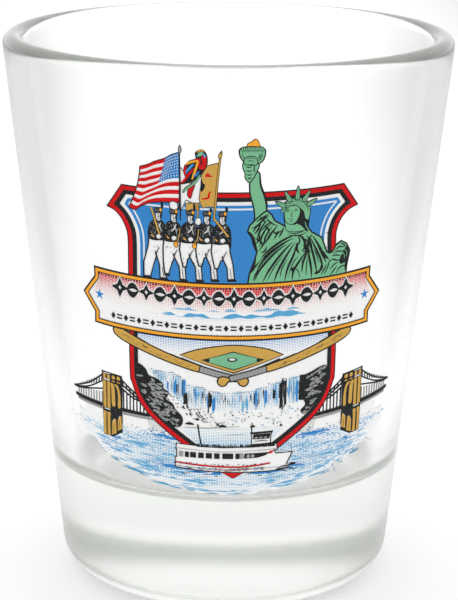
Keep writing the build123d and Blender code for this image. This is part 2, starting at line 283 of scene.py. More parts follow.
def falls():
    """A wide sheet of falling water with broken streaks, and foam at its foot."""
    dice = random.Random(7)
    crest = spline([(-9.0, -7.25), (-6.5, -7.3), (-5.3, -7.8), (-4.9, -8.5), (-3.0, -8.7), (-2.3, -9.15),
                    (0, -9.15), (2.0, -9.05), (2.4, -8.8), (3.5, -8.65), (3.7, -8.3), (4.7, -8.3),
                    (5.3, -7.95), (7.3, -7.8)], 3)

    def crest_at(x):
        return float(np.interp(x, crest[:, 0], crest[:, 1]))

    def foot_at(x):
        return -11.2 + 0.012 * x * x + (0 if x > -5 else (x + 5) * -0.75)

    def water(x, y):
        return np.clip(0.42 + 0.16 * (y + 10.2), 0.04, 0.55) * (0.75 + 0.25 * np.sin(3.1 * x))

    ink("sky", [(-5.5, -13.35), (5.6, -13.2), (3.3, -15.3), (-3.2, -15.3)], fade(-13.0, 0.08, -15.0, 0.5))
    sheet = [(x, crest_at(x)) for x in np.linspace(-8.9, 7.1, 60)]
    sheet += [(x, foot_at(x) + 0.1 * math.sin(9 * x)) for x in np.linspace(7.1, -8.9, 60)]
    ink("sky", sheet, water)
    for i in range(210):
        x = -9.0 + 16.2 * i / 209 + dice.uniform(-0.03, 0.03)
        top, foot = crest_at(x), foot_at(x)
        if top - foot < 0.5:
            continue
        y0 = top - dice.uniform(0, 0.5) * (top - foot)
        y1 = y0 - dice.uniform(0.25, 0.9) * (y0 - foot)
        name = dice.choice(("sky", "sky", "blue", PAPER, "sky", PAPER, "grey", "black"))
        tone = None if name in ("black", PAPER) else flat_tone(dice.choice((0.6, 0.8, 1.0)))
        stroke(name, [(x, y0), (x + dice.uniform(-0.05, 0.05), (y0 + y1) / 2),
                      (x + dice.uniform(-0.06, 0.06), y1)],
               dice.uniform(0.05, 0.13) * (0.6 if name == "black" else 1.05), 0.8, 3, tone=tone)
    for name, x, top, low, width in FALL_STREAKS:
        ragged(dice, name, x, top, low, width)
    for i in range(56):
        x = -8.8 + 15.6 * i / 55
        if dice.random() < 0.72:
            fleck(dice, "black", x, crest_at(x) + dice.uniform(-0.12, 0.05), dice.uniform(0.12, 0.3), 0.09,
                  dice.uniform(-30, 30))
    # foam at the foot, with the rocks that stand out of it
    for _ in range(110):
        x = dice.uniform(-4.7, 7.0)
        y = -11.9 + 0.35 * math.sin(1.3 * x) + dice.uniform(-1.0, 0.7)
        if x > 6 and y > -11.2:
            continue
        fleck(dice, dice.choice(("black", "grey", "black", "sky")), x, y, dice.uniform(0.08, 0.26),
              dice.uniform(0.04, 0.1), dice.uniform(-60, 60))
    for _ in range(46):
        t = dice.random()
        fleck(dice, "black", -6.6 + 4.4 * t + dice.uniform(-0.5, 0.5),
              -10.1 - 2.4 * t + dice.uniform(-0.5, 0.45), dice.uniform(0.15, 0.5), dice.uniform(0.05, 0.13),
              dice.uniform(-60, -20))
    for x, y, w in ((-4.4, -12.85, 0.95), (-3.6, -12.3, 0.4), (-1.0, -12.95, 0.8), (-1.5, -12.8, 0.3),
                    (2.1, -13.0, 0.5), (5.1, -13.1, 0.25)):
        blob("black", [(x - w / 2, y - 0.1), (x - w / 4, y + 0.1), (x, y + 0.16), (x + w / 2, y - 0.02),
                       (x + w / 3, y - 0.12)])
    stroke("grey", [(-5.0, -13.3), (-3.0, -13.25), (-1.0, -13.1), (0.8, -13.0)], 0.06, 1.0)
    stroke("grey", [(-1.0, -13.95), (0.6, -13.9), (1.6, -13.95)], 0.07, 1.0)


def rocks():
    """Dark cliffs to both sides of the falls, broken up by grey, pale and black chips."""
    dice = random.Random(11)
    left = [(-10.1, -6.9), (-9.2, -7.3), (-8.8, -8.0), (-7.9, -8.2), (-7.2, -8.7), (-7.2, -9.2),
            (-6.6, -9.6), (-6.8, -10.1), (-6.9, -10.4), (-6.2, -10.8), (-5.9, -11.4), (-5.3, -12.0),
            (-5.1, -12.6), (-5.3, -13.2), (-5.9, -13.4), (-7.3, -12.9), (-8.9, -11.3), (-9.8, -9.9),
            (-10.1, -8.6)]
    right = [(10.1, -7.2), (9.3, -7.15), (8.4, -7.5), (7.6, -7.75), (7.0, -7.8), (7.1, -8.8), (6.9, -10.4),
             (7.5, -10.6), (7.7, -11.2), (7.2, -11.7), (7.6, -12.2), (8.6, -11.4), (9.5, -10.2),
             (10.1, -9.0)]
    for shape, count in ((left, 62), (right, 36)):
        outline = spline(shape, 3, closed=True)
        ink("black", outline)
        core = grown(outline, -0.22)
        low, high = outline.min(0), outline.max(0)
        placed = 0
        while placed < count:
            x, y = dice.uniform(low[0], high[0]), dice.uniform(low[1], high[1])
            if shape is right and x < 7.7 and y > -10.4:
                continue
            if not inside(core, np.array([x]), np.array([y]))[0]:
                continue
            placed += 1
            lean = dice.uniform(-45, 5) if shape is left else dice.uniform(-5, 45)
            length, width = dice.uniform(0.45, 1.15), dice.uniform(0.2, 0.42)
            fleck(dice, "grey", x, y, length, width, lean)
            fleck(dice, PAPER, x - 0.1, y + 0.25 * width, 0.35 * length, 0.07, lean)
            for _ in range(2):
                fleck(dice, "black", x + dice.uniform(-0.3, 0.3) * length,
                      y + dice.uniform(-0.35, 0.35) * width,
                      dice.uniform(0.2, 0.5) * length, 0.08, lean + dice.uniform(-25, 25))


def ball_field():
    """A ball field seen low from behind the plate."""
    stroke("black", [(-5.2, -5.41), (0.05, -7.22), (4.75, -5.44)], 0.54, 0, smooth=False)
    stroke(PAPER, [(-5.75, -5.22), (0.05, -7.22), (5.5, -5.15)], 0.3, 0, smooth=False)
    far = spline([(-5.35, -5.25), (-3.2, -4.45), (0.0, -3.98), (3.1, -4.4), (5.05, -5.2)], 6)
    poly("tan", [tuple(p) for p in far] + [(0.05, -6.92)], 0.13)
    poly("green", [(-3.15, -5.65), (0.0, -4.72), (3.1, -5.6), (0.08, -6.58)], 0.12)
    for side in (-1, 1):
        poly("black", [(side * 3.15, -5.62), (side * 2.45, -5.42), (side * 2.35, -5.66),
                       (side * 2.5, -5.84)])
    ink("black", oval(-0.1, -5.52, 0.52, 0.24))
    ink(PAPER, oval(-0.1, -5.5, 0.36, 0.14))
    dice = random.Random(3)
    for _ in range(60):
        x, y = dice.uniform(-4.6, 4.4), dice.uniform(-6.4, -4.2)
        if abs(x) / 5 + abs(y + 5.4) / 1.4 < 0.9:
            fleck(dice, "black", x, y, 0.07, 0.04, tone=flat_tone(0.6))


def bat(side):
    """One of the two crossed bats, with a bound grip."""
    def m(points):
        return points if side < 0 else flipped(points)

    body = [(-12.78, -3.4), (-12.35, -3.26), (-10.9, -3.8), (-8.6, -4.66), (-5.8, -5.6), (-3.3, -6.4),
            (-3.42, -6.92), (-5.8, -6.33), (-8.6, -5.53), (-11.4, -4.68), (-12.5, -4.2), (-12.86, -3.8)]
    knob = [(0.35, -7.7), (0.8, -7.5), (1.22, -7.5), (1.48, -7.78), (1.44, -8.15), (1.15, -8.4),
            (0.8, -8.3), (0.6, -8.0)]
    blob("tan", m(body), 0.15, 3)
    blob("tan", m(knob), 0.15, 3)
    poly("grey", m([(-3.3, -6.36), (-1.6, -6.86), (0.35, -7.4), (0.2, -7.9), (-1.7, -7.4), (-3.42, -6.93)]),
         0.12)
    dice = random.Random(5 + side)
    for _ in range(16):
        t = dice.random()
        x, y = -11.9 + 7.8 * t, -4.15 - 2.35 * t + dice.uniform(-0.16, 0.16)
        stroke("black", m([(x, y), (x + 0.3, y - 0.12), (x + 0.55, y - 0.16)]), 0.04, 1.0, 3)
    stroke("black", m([(-9.6, -4.5), (-9.3, -4.85), (-8.7, -4.95)]), 0.09, 0.9)
    stroke("black", m([(-12.0, -4.0), (-11.2, -4.1), (-10.4, -4.5)]), 0.07, 0.9)
    for i in range(9):
        x = -3.0 + 0.36 * i
        stroke("black", m([(x, -6.5 - 0.26 * (x + 3)), (x + 0.16, -6.98 - 0.27 * (x + 3))]), 0.035, 0.4, 2)


# each marcher: head x, far foot (x, y, width), crotch (x, y), near foot (x, y, width), top of the plume
MARCHERS = (
    (-7.7, (-8.95, 2.85, 0.58), (-7.93, 5.45), (-7.2, 2.85, 0.58), 11.15),
    (-6.1, (-6.85, 3.35, 0.26), (-6.05, 5.4), (-5.15, 2.9, 0.5), 10.8),
    (-4.4, (-5.0, 4.4, 0.22), (-4.45, 5.5), (-3.5, 2.95, 0.5), 11.15),
    (-2.75, (-3.4, 4.6, 0.22), (-2.8, 5.65), (-1.98, 3.05, 0.5), 10.7),
    (-1.2, (-1.8, 4.4, 0.22), (-1.12, 5.4), (-0.32, 3.1, 0.56), 10.9),
)


def marcher(x, far, crotch, near, plume, index):
    """A marcher in a dark coat, pale trousers and a plumed cap, with a plain face."""
    dice = random.Random(40 + index)
    hip = 7.0
    far_leg = [(x - 1.0, hip), (x - 1.08, 6.2), (far[0] - 0.3, (6.0 + far[1]) / 2),
               (far[0] - far[2] / 2, far[1]), (far[0] + far[2] / 2, far[1]),
               (crotch[0] - 0.3, (crotch[1] + far[1]) / 2 + 0.3), crotch, (crotch[0], hip)]
    near_leg = [(crotch[0] - 0.15, hip), crotch, (near[0] - 0.36, (crotch[1] + near[1]) / 2 + 0.2),
                (near[0] - near[2] / 2, near[1]), (near[0] + near[2] / 2, near[1]),
                (near[0] + 0.12, (6.3 + near[1]) / 2), (x + 0.66, 6.2), (x + 0.7, hip)]
    for leg in (far_leg, near_leg):
        poly(PAPER, leg, 0.13)
    ink(PAPER, [(crotch[0] - 0.3, crotch[1] + 0.3), (crotch[0] + 0.2, crotch[1] + 0.3), (x + 0.5, 6.9),
                (x - 0.72, 6.9)])
    stroke("black", [(crotch[0] + 0.02, crotch[1]), (crotch[0] + 0.14, crotch[1] + 0.45),
                     (crotch[0] + 0.34, crotch[1] + 0.75)], 0.08, 0.8)
    stroke("black", [(near[0] - 0.12, near[1] + 1.3), (near[0] - 0.05, near[1] + 0.7),
                     (near[0] + 0.04, near[1] + 0.2)], 0.05, 0.9)
    for foot in (far, near) if far[2] > 0.25 else (near,):
        blob("black",
             [(foot[0] - foot[2] / 2 - 0.05, foot[1] + 0.12), (foot[0] + foot[2] / 2 + 0.1, foot[1] + 0.14),
              (foot[0] + foot[2] / 2 + 0.24, foot[1] - 0.1), (foot[0] - foot[2] / 2, foot[1] - 0.12)], 0, 3)
    for _ in range(12):
        fleck(dice, "black", x + dice.uniform(-0.85, 0.55), dice.uniform(4.2, 6.6),
              dice.uniform(0.07, 0.16), 0.05, dice.uniform(40, 120))
    coat = [(x - 1.0, 7.0), (x - 1.17, 7.6), (x - 1.0, 8.5), (x - 0.62, 9.05), (x - 0.1, 9.2),
            (x + 0.38, 9.05), (x + 0.72, 8.6), (x + 0.86, 7.7), (x + 0.84, 6.6), (x + 0.68, 6.45),
            (x + 0.5, 6.95), (x - 0.3, 6.88)]
    blob("black", coat, 0, 3)
    for _ in range(44):
        cx, cy = x + dice.uniform(-0.98, 0.72), dice.uniform(7.05, 8.95)
        lean = math.radians(dice.choice((60, 100, 125, 150)) + dice.uniform(-18, 18))
        half = dice.uniform(0.07, 0.19)
        if inside(grown(np.array(coat), -0.12), np.array([cx]), np.array([cy]))[0]:
            dx, dy = half * math.cos(lean), half * math.sin(lean)
            stroke("grey", [(cx - dx, cy - dy), (cx + dx, cy + dy)], dice.uniform(0.05, 0.1), 0.6, 2)
    stroke("black", [(x - 0.62, 8.75), (x - 0.78, 8.0), (x - 0.4, 7.45), (x + 0.0, 7.35)], 0.12, 0.5)
    stroke("black", [(x + 0.5, 8.7), (x + 0.6, 8.0), (x + 0.42, 7.35)], 0.12, 0.5)
    stroke(PAPER, [(x - 0.34, 8.0), (x + 0.0, 8.32), (x + 0.22, 8.86)], 0.15, 0.4)
    stroke(PAPER, [(x - 0.12, 8.85), (x + 0.16, 8.3), (x + 0.28, 7.8)], 0.1, 0.4)
    blob(PAPER, [(x - 0.25, 7.42), (x + 0.05, 7.58), (x + 0.26, 7.34), (x + 0.05, 7.08), (x - 0.2, 7.15)],
         0.07, 3)
    stroke("gold", [(x - 0.75, 7.5), (x - 0.62, 7.35), (x - 0.5, 7.3)], 0.13, 0.5)
    # a plain head under a tall plumed cap
    blob(PAPER, [(x - 0.26, 9.2), (x - 0.32, 9.6), (x - 0.18, 9.9), (x + 0.14, 9.92), (x + 0.27, 9.55),
                 (x + 0.17, 9.12), (x - 0.02, 8.98)], 0.08, 3)
    strokes("black", 0.06, 0.6, [(x - 0.2, 9.66), (x - 0.1, 9.69), (x - 0.02, 9.64)],
            [(x - 0.03, 9.55), (x - 0.06, 9.4), (x + 0.03, 9.37)],
            [(x - 0.12, 9.22), (x - 0.02, 9.2), (x + 0.06, 9.23)])
    blob("black", [(x + 0.1, 9.6), (x + 0.28, 9.75), (x + 0.32, 9.4), (x + 0.2, 9.2)], 0, 3)
    blob("black", [(x - 0.42, 9.84), (x - 0.48, 10.3), (x - 0.2, 10.42), (x + 0.38, 10.38), (x + 0.36, 9.9),
                   (x + 0.46, 9.72), (x, 9.82)], 0, 3)
    for dx in (-0.34, -0.2, -0.04):
        stroke("grey", [(x + dx, 10.28), (x + dx + 0.03, 9.98)], 0.07, 0.5, 2)
    blob("gold", [(x + 0.1, 10.3), (x + 0.3, 10.36), (x + 0.33, 10.08), (x + 0.14, 10.0)], 0, 3)
    stroke("black", [(x + 0.3, 10.3), (x + 0.36, (10.3 + plume) / 2), (x + 0.28, plume)], 0.27, 0.5, 3)


def bearers():
    """The marching row, with its poles, cords and gloves."""
    for i, figure in enumerate(MARCHERS):
        marcher(*figure, i)
    for top, low in (((-8.5, 10.35), (-7.62, 7.6)), ((-2.05, 9.6), (-0.65, 7.75))):
        stroke("black", [top, low], 0.3, 0, smooth=False)
        stroke("tan", [top, low], 0.18, 0, smooth=False)
    for x in (-5.93, -4.05):
        blob("gold", [(x - 0.1, 6.9), (x + 0.1, 6.95), (x + 0.22, 6.55), (x + 0.02, 6.4), (x - 0.16, 6.6)],
             0.06, 3)
        stroke("black", [(x + 0.45, 8.6), (x + 0.35, 7.6), (x + 0.1, 6.9)], 0.16, 0.3)
        stroke("tan", [(x + 0.45, 8.5), (x + 0.35, 7.6), (x + 0.12, 6.95)], 0.08, 0.3)
    blob(PAPER, [(-3.85, 9.55), (-3.5, 9.6), (-3.4, 9.2), (-3.6, 8.9), (-3.95, 9.05)], 0.08)
    blob(PAPER, [(-6.5, 11.1), (-5.9, 11.1), (-5.75, 10.6), (-6.0, 10.35), (-6.5, 10.5)], 0.08)


FLAG_TOP = [(-9.65, 14.45), (-8.9, 14.72), (-8.0, 15.2), (-7.1, 15.55), (-6.4, 16.0), (-5.62, 16.3)]
FLAG_LOW = [(-10.85, 10.05), (-10.2, 9.9), (-9.55, 10.4), (-8.6, 10.85), (-7.3, 11.05), (-5.62, 11.2)]


def cloth(u, v):
    """A point of the striped flag: u from its free end to the pole, v from its top to its foot."""
    top, low = spline(FLAG_TOP, 6), spline(FLAG_LOW, 6)
    i, j = u * (len(top) - 1), u * (len(low) - 1)
    a = np.array([np.interp(i, range(len(top)), top[:, k]) for k in (0, 1)])
    b = np.array([np.interp(j, range(len(low)), low[:, k]) for k in (0, 1)])
    p = a + (b - a) * v
    ripple = 0.16 * math.sin(2 * math.pi * (1.15 * u + 0.35 * v)) * math.sin(math.pi * v)
    return (float(p[0] + 0.28 * math.sin(math.pi * v) * (1 - u)), float(p[1] + ripple))


def striped_flag():
    """A rippling flag of thirteen red and white stripes, with rows of pale dots on a blue corner."""
    rim = [cloth(u, 0) for u in np.linspace(0, 1, 14)] + [cloth(1, v) for v in np.linspace(0.1, 1, 8)]
    rim += [cloth(u, 1) for u in np.linspace(0.95, 0, 14)]
    rim += [cloth(0, v) for v in np.linspace(0.95, 0.05, 9)]
    poly(PAPER, rim, 0.1)
    bands = 13
    for k in range(0, bands, 2):
        v0, v1 = k / bands, (k + 1) / bands
        end = 0.63 if k < 7 else 1.0
        us = np.linspace(0, end, 16)
        ink("red", [cloth(u, v0) for u in us] + [cloth(u, v1) for u in us[::-1]])
    us, vs = np.linspace(0.62, 1, 8), np.linspace(0, 7 / bands, 6)
    corner = [cloth(u, 0.0) for u in us] + [cloth(1, v) for v in vs[1:]]
    corner += [cloth(u, 7 / bands) for u in us[::-1]] + [cloth(0.62, v) for v in vs[::-1][1:]]
    ink("blue", corner)
    for row in range(8):
        for column in range(7):
            u, v = 0.655 + 0.05 * column + 0.012 * (row % 2), (row + 0.6) * 7 / bands / 8.4
            x, y = cloth(u, v)
            ink(PAPER, oval(x, y, 0.088, 0.105, 5, 90 * (row % 2)))


def flags():
    """A white flag and a tan one with small marks, ribbons, the striped flag, and their poles."""
    blob(PAPER, [(-5.5, 14.6), (-5.15, 14.3), (-4.6, 13.2), (-3.9, 13.7), (-3.42, 13.9), (-3.45, 12.5),
                 (-3.55, 11.25), (-4.3, 11.2), (-4.9, 11.45), (-5.2, 10.8), (-5.5, 10.3), (-5.6, 12.0)],
         0.06, 3)
    poly("tan", [(-2.9, 15.05), (-2.3, 15.25), (-1.72, 15.4), (-1.82, 13.6), (-1.95, 11.8), (-2.02, 10.85),
                 (-2.6, 10.9), (-3.25, 10.75), (-3.55, 11.6), (-3.45, 12.6), (-3.3, 13.5), (-3.4, 14.2)],
         0.07)
    poly("tan", [(-4.9, 11.05), (-4.2, 11.15), (-3.6, 11.15), (-3.6, 10.5), (-4.3, 10.55), (-4.85, 10.35)],
         0.06)
    blob("black", [(-3.4, 13.8), (-3.2, 13.3), (-3.0, 13.15), (-3.15, 12.6), (-3.4, 12.4), (-3.45, 13.0)],
         0, 3)
    blob("red", [(-3.0, 14.1), (-2.75, 14.4), (-2.5, 14.15), (-2.3, 14.1), (-2.35, 13.98), (-2.95, 13.97)],
         0, 3)
    stroke("red", [(-3.35, 11.65), (-2.95, 11.7), (-2.65, 11.85), (-2.6, 12.25), (-2.4, 12.5)], 0.22, 0.5)
    # ribbons tied at the head of the white flag
    blob("black", [(-4.0, 16.5), (-3.5, 16.78), (-3.05, 16.6), (-2.78, 16.0), (-2.8, 15.1), (-3.1, 14.55),
                   (-3.45, 14.0), (-3.95, 13.65), (-4.5, 13.3), (-5.3, 13.05), (-5.5, 13.2), (-5.0, 13.7),
                   (-5.2, 14.4), (-5.05, 15.1), (-4.55, 15.6), (-4.0, 15.8), (-4.05, 16.2)], 0, 3)
    blob("red", [(-3.4, 16.0), (-3.0, 16.15), (-2.88, 15.7), (-2.95, 15.0), (-3.25, 14.7), (-3.5, 14.95),
                 (-3.3, 15.4)], 0, 3)
    strokes("red", 0.24, 0.5, [(-4.15, 14.75), (-4.6, 14.2), (-5.0, 13.6), (-5.42, 13.15)],
            [(-4.9, 15.0), (-5.05, 14.5), (-4.95, 14.0)], [(-3.55, 15.85), (-3.6, 15.2), (-3.45, 14.7)],
            [(-4.2, 15.5), (-3.85, 15.72), (-3.7, 15.6)])
    blob("green", [(-3.8, 16.15), (-3.6, 16.5), (-3.25, 16.5), (-3.3, 16.2), (-3.6, 16.05)], 0, 3)
    stroke("gold", [(-3.85, 16.45), (-3.5, 16.68), (-3.15, 16.55)], 0.13, 0.5)
    strokes("sky", 0.16, 0.6, [(-3.3, 16.4), (-3.05, 16.15), (-3.1, 15.9)], [(-3.95, 16.2), (-3.75, 15.95)])
    strokes("gold", 0.24, 0.4, [(-4.95, 15.15), (-4.45, 15.42), (-3.7, 15.6)],
            [(-3.72, 15.55), (-3.95, 14.7), (-4.3, 13.65)])
    strokes("blue", 0.2, 0.5, [(-4.1, 15.25), (-4.5, 14.8), (-4.95, 14.25)],
            [(-3.6, 14.5), (-3.9, 14.15), (-4.15, 13.95)])
    strokes("sky", 0.12, 0.6, [(-4.3, 15.2), (-4.7, 14.7), (-4.95, 14.4)], [(-3.5, 14.25), (-3.8, 13.95)])
    blob("red", [(-4.35, 13.2), (-4.08, 13.0), (-4.3, 12.3), (-4.45, 11.7), (-4.72, 11.95), (-4.65, 12.6)],
         0.07, 3)
    stroke("black", [(-3.45, 14.2), (-4.1, 13.25), (-4.9, 12.65), (-5.2, 12.2)], 0.3, 0.4)
    stroke("green", [(-3.5, 14.1), (-4.1, 13.25), (-4.85, 12.65), (-5.15, 12.3)], 0.18, 0.4)
    striped_flag()
    stroke("black", [(-5.6, 16.4), (-5.52, 13.0), (-5.45, 9.3)], 0.15, 0)
    blob("grey", [(-5.57, 17.05), (-5.42, 16.6), (-5.55, 16.25), (-5.7, 16.6)], 0.06, 3)
    stroke("black", [(-1.52, 16.2), (-1.75, 13.8), (-2.0, 10.8), (-2.1, 9.4)], 0.26, 0)
    stroke("tan", [(-1.52, 16.1), (-1.75, 13.8), (-2.0, 10.8), (-2.1, 9.4)], 0.13, 0)
    blob("tan", [(-1.42, 16.6), (-1.4, 16.2), (-1.6, 15.9), (-1.7, 16.2)], 0.07, 3)
    stroke("black", [(-1.5, 16.4), (-1.45, 16.75)], 0.14, -0.7, 2)
    stroke("black", [(-3.75, 11.1), (-3.7, 10.4), (-3.72, 9.6)], 0.2, 0)
    stroke("tan", [(-3.75, 11.1), (-3.7, 10.4), (-3.72, 9.6)], 0.1, 0)


def statue():
    """A green robed statue holding up a lit bowl, with five pointed leaves that stand out like rays."""
    blob("gold", [(1.15, 17.0), (1.15, 17.4), (1.55, 17.6), (1.8, 17.85), (2.1, 17.75), (2.3, 17.3),
                  (2.3, 16.95), (1.7, 16.9)], 0.07)
    blob("green", [(2.0, 9.0), (2.0, 10.0), (1.85, 11.0), (1.55, 12.1), (1.45, 13.0), (1.5, 13.6),
                   (1.9, 14.4), (2.3, 14.3), (2.4, 13.1), (2.75, 12.1), (3.0, 11.2), (3.05, 10.4),
                   (2.9, 9.4)], 0.15)
    blob("green", [(0.85, 15.5), (0.75, 14.9), (0.95, 14.4), (0.98, 13.9), (1.35, 13.5), (1.7, 13.9),
                   (2.05, 14.6), (2.2, 15.4)], 0.11, 3)
    strokes("black", 0.12, 0.7, [(0.95, 15.1), (1.3, 15.0), (1.6, 15.1)],
            [(0.98, 14.7), (1.35, 14.6), (1.6, 14.75)], [(1.05, 14.3), (1.35, 14.2), (1.6, 14.35)],
            [(1.85, 15.3), (1.8, 14.8), (1.85, 14.4)], [(1.1, 13.95), (1.4, 13.85), (1.55, 14.0)])
    blob("green", [(0.5, 16.9), (0.42, 16.3), (0.75, 15.7), (1.2, 15.45), (1.9, 15.4), (2.5, 15.6),
                   (2.8, 16.2), (2.72, 16.85), (1.6, 17.05)], 0.14)
    strokes("black", 0.1, 0.7, [(0.55, 16.75), (1.0, 16.95), (1.6, 17.0), (2.3, 16.95), (2.7, 16.75)],
            [(0.9, 15.75), (1.6, 15.62), (2.2, 15.75)], [(2.65, 16.3), (2.4, 15.85), (2.2, 15.7)],
            [(2.3, 16.4), (2.35, 16.1), (2.2, 15.9)])
    for i in range(11):
        x = 0.6 + 0.205 * i
        lift = 0.06 * math.sin(math.pi * i / 10)
        blob("green", [(x - 0.09, 16.82 + lift), (x, 17.06 + lift + 0.05 * (i % 2)),
                       (x + 0.09, 16.82 + lift), (x, 16.7)], 0.05, 2)
        stroke("black", [(x + 0.06, 16.7), (x + 0.07, 16.5)], 0.05, 0.5, 2)
    blob("green", [(0.95, 15.35), (0.86, 15.85), (1.2, 16.08), (1.75, 16.06), (2.05, 15.8), (2.0, 15.3)],
         0.09, 3)
    strokes("black", 0.08, 0.7, [(1.0, 15.85), (1.4, 15.98), (1.9, 15.85)],
            [(1.05, 15.6), (1.4, 15.7), (1.85, 15.58)], [(2.1, 15.95), (2.4, 16.2), (2.6, 16.5)],
            [(0.6, 16.5), (0.7, 16.1), (0.85, 15.9)], [(1.15, 15.25), (1.5, 15.32), (1.9, 15.2)])
    stroke("black", [(2.38, 14.2), (2.5, 13.1), (2.85, 12.1), (3.08, 11.2), (3.12, 10.4)], 0.24, 0.4)
    # the robe
    robe = [(3.15, 10.35), (2.75, 10.1), (2.1, 9.5), (1.5, 8.85), (1.35, 8.3), (1.75, 7.7), (1.95, 6.9),
            (2.3, 6.1), (2.15, 5.5), (1.9, 4.7), (1.6, 3.9), (1.4, 2.5), (11.9, 2.5), (12.0, 3.6),
            (12.3, 5.1), (11.9, 5.9), (11.3, 6.25), (10.75, 5.95), (10.35, 5.3), (9.95, 5.15), (9.55, 5.4),
            (9.2, 6.3), (8.95, 7.0), (8.2, 7.5), (7.8, 7.75), (7.4, 8.3), (5.3, 8.4), (4.7, 8.8),
            (3.9, 9.3), (3.6, 9.9)]
    poly("green", robe, 0.17)
    strokes("black", 0.34, 0.8, [(1.4, 8.3), (1.78, 7.65), (1.98, 6.9), (2.28, 6.1)],
            [(2.1, 5.4), (1.85, 4.6), (1.55, 3.8)], [(12.25, 5.1), (12.0, 3.9), (11.9, 3.0)])
    dice = random.Random(17)
    for _ in range(70):
        fleck(dice, "black", dice.uniform(2.6, 9.6), dice.uniform(3.2, 7.6), dice.uniform(0.08, 0.24), 0.06,
              dice.uniform(30, 80))
    # neck, hair and head in three-quarter view, with a wreath whose longest leaves stand out like rays
    blob("green", [(5.15, 9.3), (5.1, 8.6), (5.3, 8.2), (6.1, 8.05), (7.0, 8.1), (7.3, 8.3), (7.1, 9.2)],
         0.08, 3)
    blob("black", [(5.4, 9.0), (5.9, 8.75), (6.4, 8.85), (6.9, 8.4), (7.4, 7.9), (7.55, 8.6), (7.6, 9.6),
                   (7.5, 10.5), (6.8, 11.1), (6.3, 10.2), (6.0, 9.2)], 0, 3)
    blob("green", [(4.75, 10.3), (4.85, 10.9), (5.3, 11.35), (6.1, 11.5), (6.9, 11.3), (7.45, 10.7),
                   (7.62, 10.0), (7.4, 9.2), (7.0, 9.6), (6.7, 10.4), (5.9, 10.9), (5.1, 10.6)], 0.1)
    blob("green", [(5.0, 10.2), (5.0, 9.6), (5.15, 9.15), (5.5, 8.9), (5.95, 8.95), (6.3, 9.35), (6.5, 9.9),
                   (6.5, 10.4), (6.1, 10.75), (5.4, 10.7)], 0.08)
    blob("black", [(6.25, 9.1), (6.55, 9.7), (6.55, 10.3), (6.9, 10.2), (7.1, 9.5), (7.0, 8.8), (6.5, 8.7)],
         0, 3)
    strokes("black", 0.08, 0.8, [(5.1, 10.3), (5.3, 10.38), (5.5, 10.3)],
            [(5.9, 10.3), (6.1, 10.4), (6.35, 10.28)], [(5.72, 10.25), (5.66, 9.85), (5.58, 9.72)],
            [(5.58, 9.7), (5.7, 9.66), (5.82, 9.72)], [(5.4, 9.38), (5.62, 9.42), (5.9, 9.36)],
            [(5.5, 9.2), (5.65, 9.17), (5.8, 9.2)])
    strokes("black", 0.06, 0.6, [(5.15, 10.18), (5.3, 10.22), (5.45, 10.17)],
            [(5.98, 10.18), (6.12, 10.23), (6.28, 10.16)])
    for i in range(15):
        a = math.radians(168 - 11.2 * i)
        cx, cy = 6.15 + 1.32 * math.cos(a), 10.05 + 1.32 * math.sin(a)
        dx, dy = math.cos(a + 0.7), math.sin(a + 0.7)
        blob("green", [(cx - 0.1 * dy, cy + 0.1 * dx), (cx + 0.34 * dx, cy + 0.34 * dy),
                       (cx + 0.1 * dy, cy - 0.1 * dx), (cx - 0.12 * dx, cy - 0.12 * dy)], 0.05, 3)
    for degrees, length in ((150, 1.0), (118, 1.15), (86, 1.25), (56, 1.15), (28, 1.0)):
        a = math.radians(degrees)
        cx, cy, dx, dy = 6.15 + 1.4 * math.cos(a), 10.1 + 1.4 * math.sin(a), math.cos(a), math.sin(a)
        blob("green",
             [(cx - 0.17 * dy, cy + 0.17 * dx),
              (cx + 0.5 * length * dx - 0.15 * dy, cy + 0.5 * length * dy + 0.15 * dx),
              (cx + length * dx, cy + length * dy),
              (cx + 0.5 * length * dx + 0.15 * dy, cy + 0.5 * length * dy - 0.15 * dx),
              (cx + 0.17 * dy, cy - 0.17 * dx)], 0.09, 3)
        stroke("black", [(cx, cy), (cx + 0.75 * length * dx, cy + 0.75 * length * dy)], 0.05, -0.5, 2)
    for i in range(12):
        a = math.radians(160 - 12.2 * i)
        x, y = 6.1 + 1.08 * math.cos(a), 10.0 + 1.1 * math.sin(a)
        stroke("black", [(x, y), (x - 0.22 * math.cos(a), y - 0.22 * math.sin(a))], 0.1, 0.5, 2)
    strokes("black", 0.1, 0.7, [(4.8, 10.2), (4.85, 9.6), (5.0, 9.0), (5.1, 8.5)],
            [(7.3, 9.0), (7.5, 8.4), (7.9, 7.8)], [(7.1, 9.2), (7.25, 8.5), (7.6, 8.0)])
    strokes("green", 0.09, 0.6, [(6.9, 10.6), (7.25, 9.9), (7.3, 9.2)],
            [(7.1, 9.0), (7.3, 8.4), (7.6, 8.0)])
